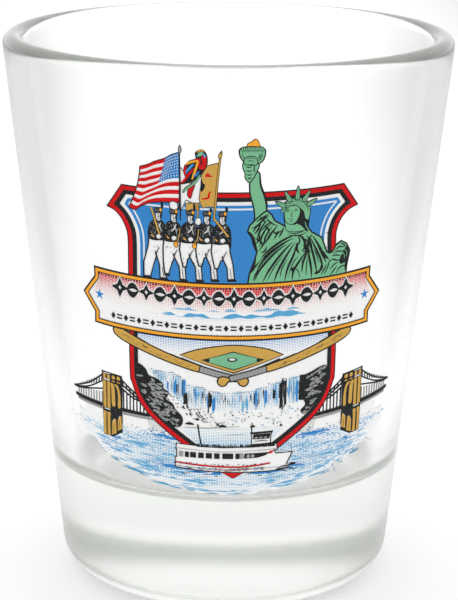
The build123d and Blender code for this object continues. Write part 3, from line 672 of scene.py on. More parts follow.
    # folds of the sleeve and robe
    strokes("black", 0.2, 0.9, [(2.1, 9.3), (2.7, 9.7), (3.3, 10.1)],
            [(1.6, 8.6), (2.2, 8.9), (2.9, 9.6), (3.4, 10.0)], [(1.9, 8.0), (2.3, 8.5), (2.6, 9.3)],
            [(2.2, 7.2), (2.35, 8.0), (2.7, 8.8), (3.2, 9.5)],
            [(2.5, 6.6), (2.6, 7.5), (3.0, 8.4), (3.6, 9.1)],
            [(2.4, 6.2), (2.9, 7.0), (3.1, 7.8), (3.8, 8.9)], [(3.0, 6.9), (3.5, 7.9), (4.2, 8.7)],
            [(3.2, 6.7), (3.0, 6.2), (2.6, 6.0)], [(2.0, 7.6), (2.6, 7.2), (2.8, 6.6)],
            [(4.4, 7.5), (4.7, 8.1), (4.9, 8.6)], [(2.9, 8.9), (3.3, 8.5), (3.4, 8.0)],
            [(3.7, 8.4), (4.1, 8.0), (4.4, 8.3)])
    strokes("black", 0.26, 0.95, [(2.6, 5.5), (3.6, 6.4), (5.0, 7.3), (6.3, 7.75)],
            [(2.2, 4.3), (3.2, 5.6), (4.6, 6.7), (5.9, 7.4)],
            [(2.0, 3.0), (2.6, 4.3), (3.9, 5.8), (5.2, 6.8)],
            [(2.8, 2.8), (3.6, 4.3), (4.8, 5.9), (5.9, 7.0)],
            [(4.0, 2.8), (4.4, 4.0), (5.2, 5.5), (6.1, 6.9)],
            [(5.1, 2.8), (5.4, 4.2), (6.0, 5.6), (6.35, 7.0)],
            [(5.9, 2.8), (6.0, 3.8), (6.6, 4.8), (7.4, 5.9)],
            [(6.9, 3.5), (7.0, 4.6), (7.3, 5.6), (7.0, 6.8)],
            [(8.0, 2.8), (7.9, 4.0), (7.6, 5.4), (7.2, 6.9)],
            [(8.6, 3.1), (8.3, 4.6), (7.9, 6.0), (7.4, 7.2)],
            [(9.2, 3.4), (9.0, 4.6), (8.4, 5.9), (7.7, 7.3)],
            [(9.6, 4.2), (9.2, 5.3), (8.6, 6.4), (7.9, 7.5)], [(9.9, 4.6), (9.5, 5.0), (9.2, 5.6)],
            [(6.3, 7.7), (6.9, 7.3), (7.2, 6.5), (6.9, 5.9)],
            [(7.9, 7.6), (7.6, 7.0), (7.5, 6.2), (7.8, 5.5)], [(6.5, 6.9), (6.3, 6.2), (6.6, 5.6)])
    strokes("black", 0.12, 0.8, [(2.0, 3.6), (2.8, 5.0), (4.1, 6.3)], [(3.3, 3.0), (4.0, 4.4), (5.0, 5.7)],
            [(4.6, 3.2), (4.8, 4.2), (5.4, 5.3)], [(5.5, 3.4), (5.9, 4.6), (6.5, 5.4)],
            [(7.4, 3.2), (7.4, 4.4), (7.5, 5.2)], [(8.8, 4.3), (8.5, 5.2), (8.1, 6.1)],
            [(5.3, 8.0), (5.9, 7.85), (6.6, 7.9), (7.2, 8.1)],
            [(5.2, 7.8), (6.0, 7.6), (6.8, 7.65), (7.4, 7.9)], [(2.3, 4.9), (3.4, 6.0), (4.8, 6.95)],
            [(6.7, 3.0), (6.5, 3.8), (5.9, 4.2)])
    strokes("black", 0.17, 0.9, [(1.75, 8.2), (2.1, 8.75), (2.6, 9.15)],
            [(2.0, 6.9), (2.4, 7.4), (2.5, 8.1)], [(2.6, 8.3), (3.1, 8.9), (3.7, 9.3)],
            [(3.3, 7.3), (3.7, 8.1), (4.3, 8.9)], [(3.9, 7.3), (4.2, 7.9), (4.7, 8.3)],
            [(3.1, 9.7), (3.5, 9.2), (4.2, 8.8)], [(2.4, 9.9), (2.8, 9.5), (3.0, 9.1)],
            [(8.0, 7.3), (8.5, 6.5), (8.9, 5.6), (9.3, 4.7)], [(7.3, 7.6), (7.7, 6.9), (8.0, 6.1)],
            [(6.4, 7.6), (6.6, 7.0), (6.4, 6.5)], [(6.8, 7.2), (7.3, 7.0), (7.5, 6.5)],
            [(6.9, 6.5), (7.3, 6.2), (7.2, 5.8), (6.8, 6.0)], [(1.8, 4.0), (2.1, 4.6), (2.5, 5.1)],
            [(1.9, 3.0), (2.1, 3.7), (2.5, 4.3)], [(9.0, 3.0), (9.4, 3.6), (9.7, 4.2)])
    blob("black", [(5.7, 4.1), (6.1, 4.3), (6.5, 4.7), (6.2, 4.2), (5.95, 3.7)], 0, 3)
    blob("black", [(8.3, 3.2), (8.9, 3.3), (9.3, 4.0), (9.0, 4.1), (8.8, 3.6), (8.4, 3.45)], 0, 3)
    # the gathered cloth over the lower arm
    blob("black", [(11.2, 3.9), (11.9, 4.0), (12.25, 5.1), (11.95, 5.7), (11.5, 5.0), (11.2, 4.5)], 0, 3)
    strokes("black", 0.16, 0.8, [(9.9, 4.3), (10.4, 4.5), (10.9, 4.3), (11.3, 4.4)],
            [(10.3, 5.1), (10.9, 5.3), (11.5, 5.2), (12.0, 5.5)], [(10.5, 5.4), (11.1, 5.75), (11.7, 5.6)],
            [(10.0, 3.4), (10.5, 3.9), (11.0, 4.1)], [(10.8, 2.9), (11.1, 3.4), (11.6, 3.6), (11.95, 3.5)],
            [(9.4, 3.0), (9.8, 3.8), (10.0, 4.6)], [(10.2, 4.9), (10.8, 4.9), (11.3, 4.7)],
            [(10.1, 2.8), (10.5, 3.3), (10.9, 3.7)], [(11.2, 6.15), (11.6, 5.9), (11.9, 5.6)])
    strokes("green", 0.07, 0.6, [(11.4, 5.2), (11.7, 4.8), (11.75, 4.3)],
            [(11.6, 5.5), (12.0, 5.0), (12.0, 4.5)])


BANNER = [(15.33, 2.82), (15.28, 1.75), (16.88, -0.35), (15.3, -2.25), (15.33, -3.48)]


def banner():
    """A gold-edged banner with a toned sky, distant ridges, two stars and two rows of ornament."""
    whole = np.array(BANNER + flipped(BANNER)[::-1])
    ink("black", whole)
    ink("gold", grown(whole, -0.19))
    ink("black", grown(whole, -0.5))
    ink(PAPER, grown(whole, -0.58))
    sky = [(-14.6, 2.25), (14.6, 2.25), (14.6, 1.5), (15.6, -0.2), (15.0, -1.0), (-15.0, -1.0),
           (-15.6, -0.2), (-14.6, 1.5)]
    ink("red", sky, lambda x, y: np.clip((0.3 + 0.5 * y) * (0.62 + 0.16 * np.cos(x / 3.4)), 0.0, 0.8))
    for i in range(98):
        x = -14.6 + 29.2 * i / 97
        ink("black", box(x - 0.06, 2.02, x + 0.06, 2.3))
        ink("black", box(x - 0.05, -3.0, x + 0.05, -2.86))
    haze = [(-9.6, -1.0), (9.4, -1.0), (8.6, -1.45), (-8.8, -1.45)]
    ink("sky", haze, lambda x, y: 0.5 * np.exp(-((x / 6.5) ** 4)) * (1.5 + y))
    ridge = [(-9.4, -1.14), (-8.4, -1.04), (-7.6, -0.95), (-7.0, -0.74), (-6.6, -0.64), (-6.2, -0.74),
             (-5.8, -0.95), (-5.3, -1.06), (-4.9, -0.75), (-4.5, -0.58), (-3.8, -0.64), (-3.1, -0.58),
             (-2.7, -0.8), (-2.2, -1.02), (-1.4, -1.03), (-0.9, -0.75), (-0.4, -0.55), (0.2, -0.48),
             (0.7, -0.64), (1.1, -0.74), (1.7, -0.56), (2.3, -0.68), (3.0, -0.8), (3.7, -0.7), (4.1, -0.45),
             (4.5, -0.32), (5.1, -0.42), (5.9, -0.38), (6.6, -0.6), (7.2, -0.82), (8.0, -0.96),
             (9.2, -1.12)]
    line = [tuple(p) for p in spline(ridge, 3)]
    below = [(x, min(y - 0.04, -0.98 + 0.06 * math.sin(3 * x))) for x, y in line[::-1]]
    ink("sky", line + below, lambda x, y: np.clip(1.6 - (x / 7.2) ** 4, 0.2, 1))
    for far in ([(-6.3, -0.3), (-5.6, -0.1), (-5.0, -0.12), (-4.6, 0.06), (-4.2, -0.12), (-3.6, -0.28)],
                [(-2.7, -0.3), (-2.0, -0.15), (-1.3, -0.3)],
                [(-1.0, -0.24), (-0.45, 0.04), (-0.1, -0.06), (0.3, -0.26)],
                [(1.9, -0.28), (2.4, -0.1), (3.0, -0.06), (3.4, 0.12), (3.7, -0.04), (4.3, -0.12),
                 (5.0, -0.28)], [(5.2, -0.3), (6.0, -0.05), (6.9, -0.28)]):
        line = [tuple(p) for p in spline(far, 3)]
        ink("sky", line + [(x, min(y - 0.02, -0.3)) for x, y in line[::-1]], flat_tone(0.75))
    for side in (-1, 1):
        turns = np.radians(90 + 36 * np.arange(10))
        reach = np.where(np.arange(10) % 2 == 0, 0.62, 0.25)
        ink("blue", np.stack([side * 14.62 + reach * np.cos(turns), -0.2 + reach * np.sin(turns)], 1))
    ornament_row()
    stud_row()


def ornament_row():
    """Plain lozenges and leaf pairs, dark with a pale edge, along the upper half of the banner."""
    pieces, holes = [], []
    for i in range(-4, 5):
        x, y, size = i * 3.02, 1.12, 1.0 if i % 2 == 0 else 0.84
        star = []
        for k in range(4):
            a, b = math.pi / 2 * k, math.pi / 2 * k + math.pi / 4
            star.append((x + 1.02 * size * math.cos(a), y + 1.04 * size * math.sin(a)))
            star.append((x + 0.46 * size * math.cos(b), y + 0.46 * size * math.sin(b)))
        pieces.append(star)
        holes.append([(x - 0.2, y), (x, y + 0.26), (x + 0.2, y), (x, y - 0.26)])
    for i in range(-4, 4):
        x, y = (i + 0.5) * 3.02, 1.1
        for up in (1, -1):
            leaf = [(x - 0.66, y), (x - 0.4, y + up * 0.62), (x + 0.15, y + up * 0.78), (x + 0.66, y),
                    (x + 0.05, y + up * 0.2)]
            pieces.append([tuple(p) for p in spline(leaf, 3, closed=True)])
    for shape in pieces:
        ink(PAPER, grown(np.array(shape, float), 0.17))
    for shape in pieces:
        ink("black", shape)
    for shape in holes:
        ink(PAPER, shape)


def stud_row():
    """Small dark lozenges between short double bars, along the lower half of the banner."""
    for i in range(-17, 18):
        x, y = i * 0.76, -2.12
        if i % 2:
            ink("black", [(x - 0.25, y), (x, y + 0.36), (x + 0.25, y), (x, y - 0.36)])
        else:
            for dy in (-0.17, 0.17):
                ink("black", box(x - 0.3, y + dy - 0.065, x + 0.3, y + dy + 0.065))


def bridge(side):
    """One end of a bridge: cables, hangers, deck and a stone tower. The right end stands higher."""
    def m(points):
        if side < 0:
            return points
        return [(0.06 * (x - 8.7) + x, y + 0.055 * (x - 8.7)) for x, y in flipped(points)]

    def rib(x, top, low, width, name="tan"):
        stroke(name, m([(x, top), (x, (top + low) / 2), (x, low)]), width, 0, 2)

    for i in range(11):
        x = -18.2 + 0.4 * i
        stroke("grey", m([(x, -11.85 + 0.075 * i), (x, -12.6)]), 0.12, 0, smooth=False)
    for i in range(9):
        x = -11.8 + 0.4 * i
        stroke("black", m([(x, -10.3 - 0.3 * (x + 11.9)), (x, -12.6)]), 0.13, 0, smooth=False)
    for ends in ([(-14.4, -9.05), (-15.0, -9.6), (-15.8, -10.25), (-17.2, -11.1), (-18.95, -11.8)],
                 [(-14.4, -9.85), (-15.3, -10.45), (-16.4, -11.1), (-17.6, -11.55), (-18.9, -11.85)],
                 [(-14.4, -10.8), (-15.5, -11.1), (-16.5, -11.4), (-17.9, -11.75), (-18.9, -11.85)],
                 [(-12.0, -9.2), (-11.3, -9.75), (-10.4, -10.35), (-9.6, -10.9)],
                 [(-12.0, -9.75), (-11.2, -10.2), (-10.4, -10.7), (-9.5, -11.1)],
                 [(-12.0, -10.15), (-11.3, -10.6), (-10.6, -10.95), (-9.9, -11.15)]):
        stroke("black", m(ends), 0.17, 0.15)
    stroke("black", m([(-17.6, -11.7), (-18.3, -11.8), (-18.95, -11.82)]), 0.22, 0.6)
    for i in range(10):
        t = i / 10
        x, y = -14.55 - 3.7 * t, -9.1 - 2.35 * t**0.85
        stroke("black", m([(x, y), (x - 0.1, y - 0.75 * (1 - t) - 0.1)]), 0.1, 0, smooth=False)
    for i in range(5):
        x = -11.9 + 0.42 * i
        stroke("black", m([(x, -9.3 - 0.6 * (x + 12)), (x + 0.1, -9.95 - 0.6 * (x + 12))]), 0.11, 0,
               smooth=False)
    deck = [(-18.7, -12.68), (-17.8, -12.72), (-16.0, -12.7), (-14.0, -12.68), (-11.5, -12.58),
            (-8.7, -12.55)]
    stroke("grey", m([(x + 0.35, y - 0.38) for x, y in deck]), 0.26, 0.15)
    stroke("black", m(deck), 0.42, 0.15)
    # the tower: corniced head, pointed openings over the deck, and ribbed piers down to the water
    poly("black",
         m([(-14.62, -8.72), (-12.0, -8.78), (-11.92, -9.25), (-11.98, -12.9), (-11.93, -15.2),
            (-12.25, -15.4), (-12.75, -15.75), (-13.2, -16.02), (-14.45, -16.05), (-14.5, -12.9),
            (-14.48, -9.3)]))
    poly(PAPER, m([(-14.45, -8.84), (-13.45, -8.84), (-13.45, -8.97), (-14.4, -8.99)]))
    for x in (-14.22, -13.68):
        rib(x, -9.03, -9.5, 0.34)
        rib(x, -9.78, -12.85, 0.4)
        rib(x, -13.32, -15.95, 0.42)
        stroke(PAPER, m([(x - 0.12, -9.85), (x - 0.12, -11.2), (x - 0.1, -12.3)]), 0.06, 0.7)
        stroke("black", m([(x + 0.16, -13.6), (x + 0.15, -14.8), (x + 0.17, -15.9)]), 0.08, 0.7)
    poly(PAPER, m([(-14.4, -9.54), (-13.5, -9.54), (-13.5, -9.72), (-14.4, -9.74)]))
    poly(PAPER, m([(-14.35, -12.93), (-13.5, -12.93), (-13.5, -13.1), (-14.35, -13.1)]))
    stroke("black", m([(-13.95, -9.8), (-13.95, -11.5), (-13.95, -12.85)]), 0.05, 0.3)
    for x, top in ((-13.05, -9.0), (-12.42, -8.98)):
        blob("tan", m([(x - 0.17, top), (x + 0.17, top), (x + 0.19, top - 0.36), (x - 0.17, top - 0.36)]),
             0, 2)
        stroke("tan", m([(x - 0.2, -9.66), (x, -9.62), (x + 0.2, -9.68)]), 0.13, 0.3)
    blob("tan",
         m([(-13.42, -9.95), (-13.1, -9.9), (-12.9, -10.4), (-12.84, -11.6), (-12.86, -12.42),
            (-13.25, -12.42), (-13.3, -11.4), (-13.34, -10.5)]), 0, 3)
    blob("tan",
         m([(-12.95, -9.92), (-12.55, -9.95), (-12.3, -10.4), (-12.17, -11.2), (-12.17, -12.42),
            (-12.5, -12.42), (-12.48, -11.2), (-12.6, -10.4)]), 0, 3)
    for x0, x1, tip, low in ((-13.32, -12.72, -13.85, -15.85), (-12.55, -12.03, -13.35, -15.2)):
        poly("tan",
             m([(x0, low), (x0 + 0.02, tip - 0.45), ((x0 + x1) / 2 + 0.1, tip), (x1 - 0.06, tip - 0.12),
                (x1, low + 0.35)]))
        stroke("black", m([(x0 + 0.26, tip - 0.7), (x0 + 0.24, (tip + low) / 2), (x0 + 0.25, low)]), 0.06,
               0.7)
        stroke(PAPER, m([(x0 + 0.08, tip - 0.42), ((x0 + x1) / 2, tip - 0.08)]), 0.1, 0, smooth=False)
    dice = random.Random(60 + side)
    for _ in range(22):
        fleck(dice, "black", *m([(dice.uniform(-14.35, -12.1), dice.uniform(-15.5, -9.1))])[0], 0.09, 0.05,
              dice.uniform(-60, 60))


def river_tone(x, y):
    """How much sky-blue the river carries: more round the boat, fading out to its ends and its foot."""
    reach = np.exp(-((x / 15.0) ** 4)) * np.clip((y + 21.0 - 0.0118 * x * x) / 2.2, 0, 1)
    reach = reach * np.clip((-14.35 - y) / 0.5, 0.1, 1)
    ripple = 0.5 + 0.5 * np.sin(2.9 * y + 0.3 * x + 1.2 * np.sin(0.5 * x)) * np.sin(0.55 * x + 1.7 * y)
    return np.clip(reach * (0.3 + 0.3 * ripple), 0.01, 0.9)


def spray(dice, name, cx, cy, rx, ry, count, length, width, lean=0.0, tone=None):
    """Flecks scattered round a point, thinning out away from it."""
    for _ in range(count):
        fleck(dice, name, dice.gauss(cx, rx / 2), dice.gauss(cy, ry / 2), length * dice.uniform(0.5, 1.4),
              width * dice.uniform(0.6, 1.3), lean + dice.uniform(-14, 14), tone)


# sprays of flecks on the river: middle (x, y), reach (x, y), how many, ink
SPRAYS = (
    (-7.6, -14.65, 3.0, 0.55, 150, "blue"), (8.4, -14.65, 4.6, 0.6, 210, "blue"),
    (15.0, -15.0, 2.6, 0.9, 50, "blue"), (-13.4, -16.3, 2.2, 1.5, 110, "blue"),
    (13.4, -16.2, 3.0, 1.6, 130, "blue"), (12.2, -17.6, 2.6, 0.9, 50, "blue"),
    (-5.6, -17.9, 2.8, 0.45, 130, "blue"), (6.6, -18.0, 2.4, 0.5, 90, "blue"),
    (7.6, -16.6, 2.0, 1.0, 50, "blue"), (-9.8, -16.0, 3.0, 0.6, 80, "sky"),
    (-8.8, -18.4, 3.0, 0.5, 60, "sky"), (9.4, -16.6, 4.6, 1.2, 90, "sky"),
    (9.0, -18.4, 4.6, 0.9, 70, "sky"), (-11.0, -15.2, 4.0, 0.8, 60, "sky"),
)


def river():
    """Water under the bridge: a toned base, drifting streaks, spray, ripples and a dark wake."""
    dice = random.Random(21)
    across = np.linspace(-18.2, 18.6, 48)
    top = [(x, -14.3 + 0.004 * max(0, abs(x) - 12) ** 2 + 0.12 * math.sin(3 * x)) for x in across]
    foot = [(x, -20.7 + 0.0145 * x * x + 0.2 * math.sin(2.3 * x)) for x in across[::-1]]
    for side in (-1, 1):
        ink(PAPER, [(side * 17.4, -13.1), (side * 9.0, -13.0), (side * 8.6, -14.6), (side * 17.2, -14.6)])
    ink("sky", top + foot, river_tone)
    drift = random.Random(22)
    for _ in range(170):
        x = drift.choice((-1, 1)) * drift.uniform(2.5, 15.5)
        y = drift.uniform(-15.1, -20.1 + 0.0145 * x * x)
        half, rise = drift.uniform(0.35, 1.2), 0.004 * x
        tone = flat_tone(drift.choice((0.5, 0.65, 0.8)))
        stroke("sky", [(x - half, y - rise), (x, y + 0.03), (x + half, y + rise)], drift.uniform(0.07, 0.2),
               1.0, 3, tone=tone)
    spray(dice, "sky", -16.0, -15.2, 2.6, 0.45, 50, 0.4, 0.07, -8, flat_tone(0.7))
    spray(dice, "sky", 16.4, -14.9, 2.6, 0.5, 60, 0.4, 0.08, 10, flat_tone(0.8))
    for cx, cy, rx, ry, count, name in SPRAYS:
        spray(dice, name, cx, cy, rx, ry, count, 0.24, 0.09, 1.2 * cx if cy < -17 else 0.4 * cx)
    for cx, cy, length in ((-9.8, -15.9, 1.7), (-10.4, -16.1, 1.2), (-8.9, -18.35, 2.0), (-8.4, -18.6, 1.3),
                           (-6.0, -18.6, 1.0), (-10.6, -19.1, 1.2), (-9.2, -19.35, 1.0), (-7.0, -19.3, 0.9),
                           (-7.4, -20.1, 1.4), (-4.4, -19.4, 1.1), (-3.4, -20.3, 1.2), (-5.6, -20.2, 0.8),
                           (-1.6, -20.55, 1.4), (-2.2, -19.3, 1.0), (0.8, -20.5, 1.0), (0.9, -19.6, 0.8),
                           (4.6, -18.85, 0.9), (6.0, -19.85, 1.6), (5.2, -20.0, 1.2), (7.9, -19.2, 1.3),
                           (3.4, -19.5, 0.9), (9.6, -18.7, 1.4), (11.2, -18.4, 1.0), (10.4, -17.3, 1.2),
                           (12.6, -17.2, 1.2), (7.2, -17.2, 1.0), (8.4, -16.0, 1.0), (-12.0, -17.3, 1.1),
                           (-12.6, -18.4, 0.8), (-6.9, -16.6, 0.8), (-7.6, -17.4, 1.0), (13.6, -18.0, 0.8),
                           (9.6, -19.5, 0.8)):
        lean = 0.012 * cx * (1 if cy < -17 else 0.5)
        for _ in range(8):
            x, y = cx + dice.uniform(-1.0, 1.0), cy + dice.uniform(-0.24, 0.24)
            half = length * dice.uniform(0.3, 0.8)
            stroke("sky", [(x - half, y - half * lean), (x, y + 0.03), (x + half, y + half * lean)],
                   dice.uniform(0.05, 0.1), 1.0, 3)
    for cx, cy, length in ((-6.4, -17.95, 2.6), (-5.0, -18.05, 2.0), (-3.4, -18.3, 2.6),
                           (-1.6, -18.35, 1.6), (2.9, -18.35, 2.6), (4.8, -18.3, 1.8), (6.9, -18.0, 2.0),
                           (-7.2, -14.6, 2.2), (-6.4, -14.75, 1.4), (8.2, -14.55, 3.0), (9.8, -14.7, 2.0),
                           (-12.8, -15.9, 0.9), (12.6, -16.1, 0.9)):
        for _ in range(5):
            x, y = cx + dice.uniform(-0.5, 0.5), cy + dice.uniform(-0.16, 0.16)
            half = length * dice.uniform(0.25, 0.5)
            stroke("blue", [(x - half, y), (x, y + 0.03), (x + half, y)], dice.uniform(0.08, 0.2), 1.0, 3)
    for _ in range(70):
        x, y = dice.uniform(-9.5, 10), dice.uniform(-19.9, -15.6)
        stroke(PAPER, [(x - 0.4, y), (x, y + 0.02), (x + 0.5, y)], dice.uniform(0.05, 0.12), 1.0, 2)
    for x, y, length in ((-5.0, -18.6, 0.8), (-4.5, -18.45, 0.5), (-2.6, -18.55, 0.9), (-1.6, -18.7, 0.5),
                         (2.9, -18.7, 0.7), (4.9, -18.25, 1.6), (5.9, -18.15, 1.4), (6.4, -18.3, 0.9),
                         (5.6, -18.4, 0.8), (-3.6, -18.3, 0.7), (1.8, -18.45, 0.8), (3.9, -18.5, 0.6)):
        stroke("black", [(x - length / 2, y), (x, y + 0.04), (x + length / 2, y)], 0.09, 1.0, 3)


def ferry():
    """A plain passenger boat: red-lined hull, windowed cabin, railed upper deck and wheelhouse."""
    poly("red", [(-1.0, -18.25), (1.25, -18.25), (0.15, -18.85)], 0.08)
    hull = [(-5.88, -16.8), (-5.85, -17.9), (-3.0, -18.1), (0.2, -18.2), (4.9, -18.2), (5.7, -17.7),
            (6.35, -16.35), (4.6, -16.3), (3.0, -16.7)]
    cabin = [(-5.72, -16.95), (-5.7, -15.6), (4.2, -15.6), (4.6, -16.3), (4.4, -16.8)]
    deck = [(-5.75, -15.25), (-1.0, -15.45), (2.0, -15.35), (4.65, -15.15), (4.7, -15.85), (0.0, -15.95),
            (-5.8, -15.85)]
    for shape in (hull, cabin, deck):
        ink("black", grown(np.array(shape), 0.1))
    for shape in (hull, cabin, deck):
        ink(PAPER, shape)
    stroke("grey", [(-5.7, -15.75), (-1.0, -15.88), (4.6, -15.75)], 0.07, 0.2, tone=flat_tone(0.7))
    for x0, x1 in ((-5.5, -5.1), (-4.85, -4.5), (-4.3, -3.75), (-3.45, -2.95), (-2.65, -2.1), (-1.8, -1.3),
                   (-0.95, 0.1), (0.4, 0.75), (0.85, 1.15)):
        ink("grey" if x1 < -4.5 or x0 > 0.8 else "black", box(x0 - 0.03, -16.68, x1 + 0.04, -16.08))
    ink("black", [(1.25, -16.65), (1.3, -16.1), (3.9, -16.08), (3.5, -16.4), (2.6, -16.62)])
    for x in (1.7, 2.15):
        ink("grey", oval(x, -16.38, 0.2, 0.2, 10))
    poly("red", [(3.7, -16.25), (4.0, -15.95), (4.45, -15.92), (4.1, -16.22)])
    stroke("black", [(-5.85, -17.42), (-3.0, -17.57), (0.3, -17.67), (2.4, -17.57), (4.0, -17.37)], 0.07,
           0.2)
    stroke("red", [(-5.85, -17.35), (-3.0, -17.5), (0.3, -17.6), (2.4, -17.5), (4.0, -17.3)], 0.13, 0.2)
    stroke("red", [(-2.0, -17.9), (0.0, -17.95), (2.0, -17.85)], 0.08, 0.9)
    stroke("grey", [(-5.8, -17.75), (-1.0, -17.95), (4.8, -17.85)], 0.05, 0.5)
    dice = random.Random(33)
    for _ in range(40):
        fleck(dice, "black", dice.uniform(-5.5, 3.6), -17.36 + dice.uniform(-0.14, 0.06),
              dice.uniform(0.08, 0.22), 0.06)
    for _ in range(60):
        x = dice.uniform(-4.9, 3.4)
        fleck(dice, dice.choice(("black", "grey", "blue")), x,
              -17.98 + 0.03 * abs(x) + dice.uniform(-0.14, 0.16), dice.uniform(0.15, 0.5), 0.06)
    for i in range(52):
        x = -3.5 + 7.9 * i / 51
        stroke("black", [(x, -15.42), (x + dice.uniform(-0.06, 0.06), -14.98 - dice.uniform(0, 0.22))],
               dice.uniform(0.1, 0.26), 0.4, 2)
    poly("black", [(1.55, -15.4), (2.05, -14.9), (2.6, -15.15), (3.9, -15.1), (4.4, -14.85), (4.62, -15.2),
                   (2.0, -15.4)])
    stroke("black", [(-3.6, -15.1), (0.0, -15.22), (4.4, -15.05)], 0.05, 0)
    poly(PAPER, [(2.05, -15.05), (2.05, -14.0), (1.95, -13.75), (4.15, -13.7), (4.0, -14.05),
                 (3.95, -15.0)], 0.09)
    poly("black", [(2.15, -14.5), (2.2, -13.95), (4.0, -13.92), (3.85, -14.5)])
    for x in (2.3, 2.78, 3.28):
        ink("grey", [(x, -14.42), (x + 0.3, -14.42), (x + 0.36, -14.22), (x + 0.08, -14.26)])
    stroke("black", [(2.3, -14.75), (3.0, -14.7), (3.7, -14.75)], 0.06, 0.6)
    stroke("black", [(1.95, -13.85), (4.15, -13.78)], 0.12, 0, smooth=False)
    stroke("black", [(-3.56, -12.9), (-3.38, -14.0), (-3.2, -15.1)], 0.17, 0)
    stroke("black", [(1.9, -13.0), (2.0, -13.3), (2.0, -13.7)], 0.14, 0.2)
    stroke("black", [(6.2, -15.3), (6.25, -15.9), (6.35, -16.3)], 0.05, 0)
    stroke("black", [(4.7, -15.9), (5.4, -16.0), (6.35, -16.3)], 0.04, 0)
    strokes("black", 0.2, 0.9, [(4.8, -18.0), (5.9, -17.8), (7.1, -17.68)],
            [(5.6, -17.7), (6.3, -17.62), (6.8, -17.6)], [(4.6, -18.15), (5.4, -18.1), (6.2, -18.05)])
    strokes(PAPER, 0.12, 0.9, [(5.1, -17.8), (5.8, -17.7), (6.3, -17.68)],
            [(4.8, -18.05), (5.5, -17.97), (6.0, -17.95)])


def draw_print():
    """The whole picture, from the farthest motif to the nearest."""
    river()
    bridge(-1)
    bridge(1)
    shield()
    falls()
    rocks()
    flags()
    bearers()
    statue()
    ball_field()
    bat(-1)
    bat(1)
    banner()
    ferry()


# ---------------------------------------------------------------- the decal as films of ink on the cone

GRID_ACROSS, GRID_UP = range(-25, 26), range(-27, 25)
GRID_SHEAR = (0.011, 0.013)
SNAP = 1e-5
SHARP_ANGLE = math.radians(35)


def on_cone(points, lift):
    """Row-frame positions, in metres, of points of the flat decal, at a lift in mm off the glass."""
    x, y = points[:, 0], points[:, 1]
    slant = np.hypot(x, SLANT + y)
    turn = np.arctan2(x, SLANT + y) / math.sin(CONE)
    z = slant * math.cos(CONE) + APEX
    radius = FOOT_RADIUS + SLOPE * z + lift
    return np.stack([radius * np.sin(turn), -radius * np.cos(turn), z], 1) * MM


def partition():
    """The drawing cut into triangles that lie in one shape each: (points, triangles, their top shapes).

    A slightly sheared grid of extra points keeps the triangles small enough to follow the curved glass.
    """
    points, edges = [], []
    for _, outline, _ in PRINT:
        run = divided(outline, MESH_STEP)
        start = len(points)
        points += [Vector((float(x), float(y))) for x, y in run]
        edges += [(start + i, start + (i + 1) % len(run)) for i in range(len(run))]
    for i in GRID_ACROSS:
        for j in GRID_UP:
            points.append(Vector((i * MESH_STEP + GRID_SHEAR[0] * j, j * MESH_STEP + GRID_SHEAR[1] * i)))
    result = delaunay_2d_cdt(points, edges, [], 0, SNAP)
    flat = np.array([(v.x, v.y) for v in result[0]])
    triangles = np.array([f for f in result[2] if len(f) == 3])
    middle = flat[triangles].mean(1)
    top = np.full(len(triangles), -1)
    for index, (_, outline, _) in enumerate(PRINT):
        low, high = outline.min(0), outline.max(0)
        near = np.nonzero(((middle >= low) & (middle <= high)).all(1))[0]
        if len(near):
            hit = inside(outline, middle[near, 0], middle[near, 1])
            top[near[hit]] = index
    return flat, triangles, top


def add_object(name, mesh):
    made = bpy.data.objects.new(name, mesh)
    bpy.context.scene.collection.objects.link(made)
    return made


def store_print(mesh, spots, tones):
    """Keeps each corner's place on the flat decal, as a UV map, and its coverage, as an attribute."""
    loops = np.empty(len(mesh.loops), np.int32)
    mesh.loops.foreach_get("vertex_index", loops)
    uv = mesh.uv_layers.new(name="decal_mm")
    uv.data.foreach_set("uv", spots[loops].astype(np.float32).ravel())
    tone = mesh.attributes.new("coverage", "FLOAT", "CORNER")
    tone.data.foreach_set("value", tones.astype(np.float32))


def film(name, flat, triangles, tones, low, high):
    """A closed thin solid over some triangles of the flat decal, between two lifts off the glass."""
    used, local = np.unique(triangles, return_inverse=True)
    local = local.reshape(-1, 3)
    spots = flat[used]
    a, b, c = spots[local[:, 0]], spots[local[:, 1]], spots[local[:, 2]]
    turning = (b[:, 0] - a[:, 0]) * (c[:, 1] - a[:, 1]) - (b[:, 1] - a[:, 1]) * (c[:, 0] - a[:, 0])
    local = np.where((turning > 0)[:, None], local, local[:, ::-1])
    tones = np.where((turning > 0)[:, None], tones, tones[:, ::-1])
    edges = {}
    for t, (i, j, k) in enumerate(local):
        for p, q, s in ((i, j, 0), (j, k, 1), (k, i, 2)):
            edges[(p, q)] = (t, s)
    rim = [(p, q, *where) for (p, q), where in edges.items() if (q, p) not in edges]
    n = len(used)
    vertices = np.vstack([on_cone(spots, high), on_cone(spots, low)])
    faces = [tuple(map(int, t)) for t in local] + [tuple(int(i) + n for i in t[::-1]) for t in local]
    faces += [(int(q), int(p), int(p) + n, int(q) + n) for p, q, _, _ in rim]
    mesh = bpy.data.meshes.new(name)
    mesh.from_pydata([tuple(v) for v in vertices], [], faces)
    sides = [[tones[t][(s + 1) % 3], tones[t][s], tones[t][s], tones[t][(s + 1) % 3]] for _, _, t, s in rim]
    store_print(mesh, np.vstack([spots, spots]),
                np.concatenate([tones.ravel(), tones[:, ::-1].ravel()] + sides))
    mesh.shade_smooth()
    mesh.set_sharp_from_angle(angle=SHARP_ANGLE)
    mesh.validate()
    return add_object(name, mesh)


# ---------------------------------------------------------------- materials

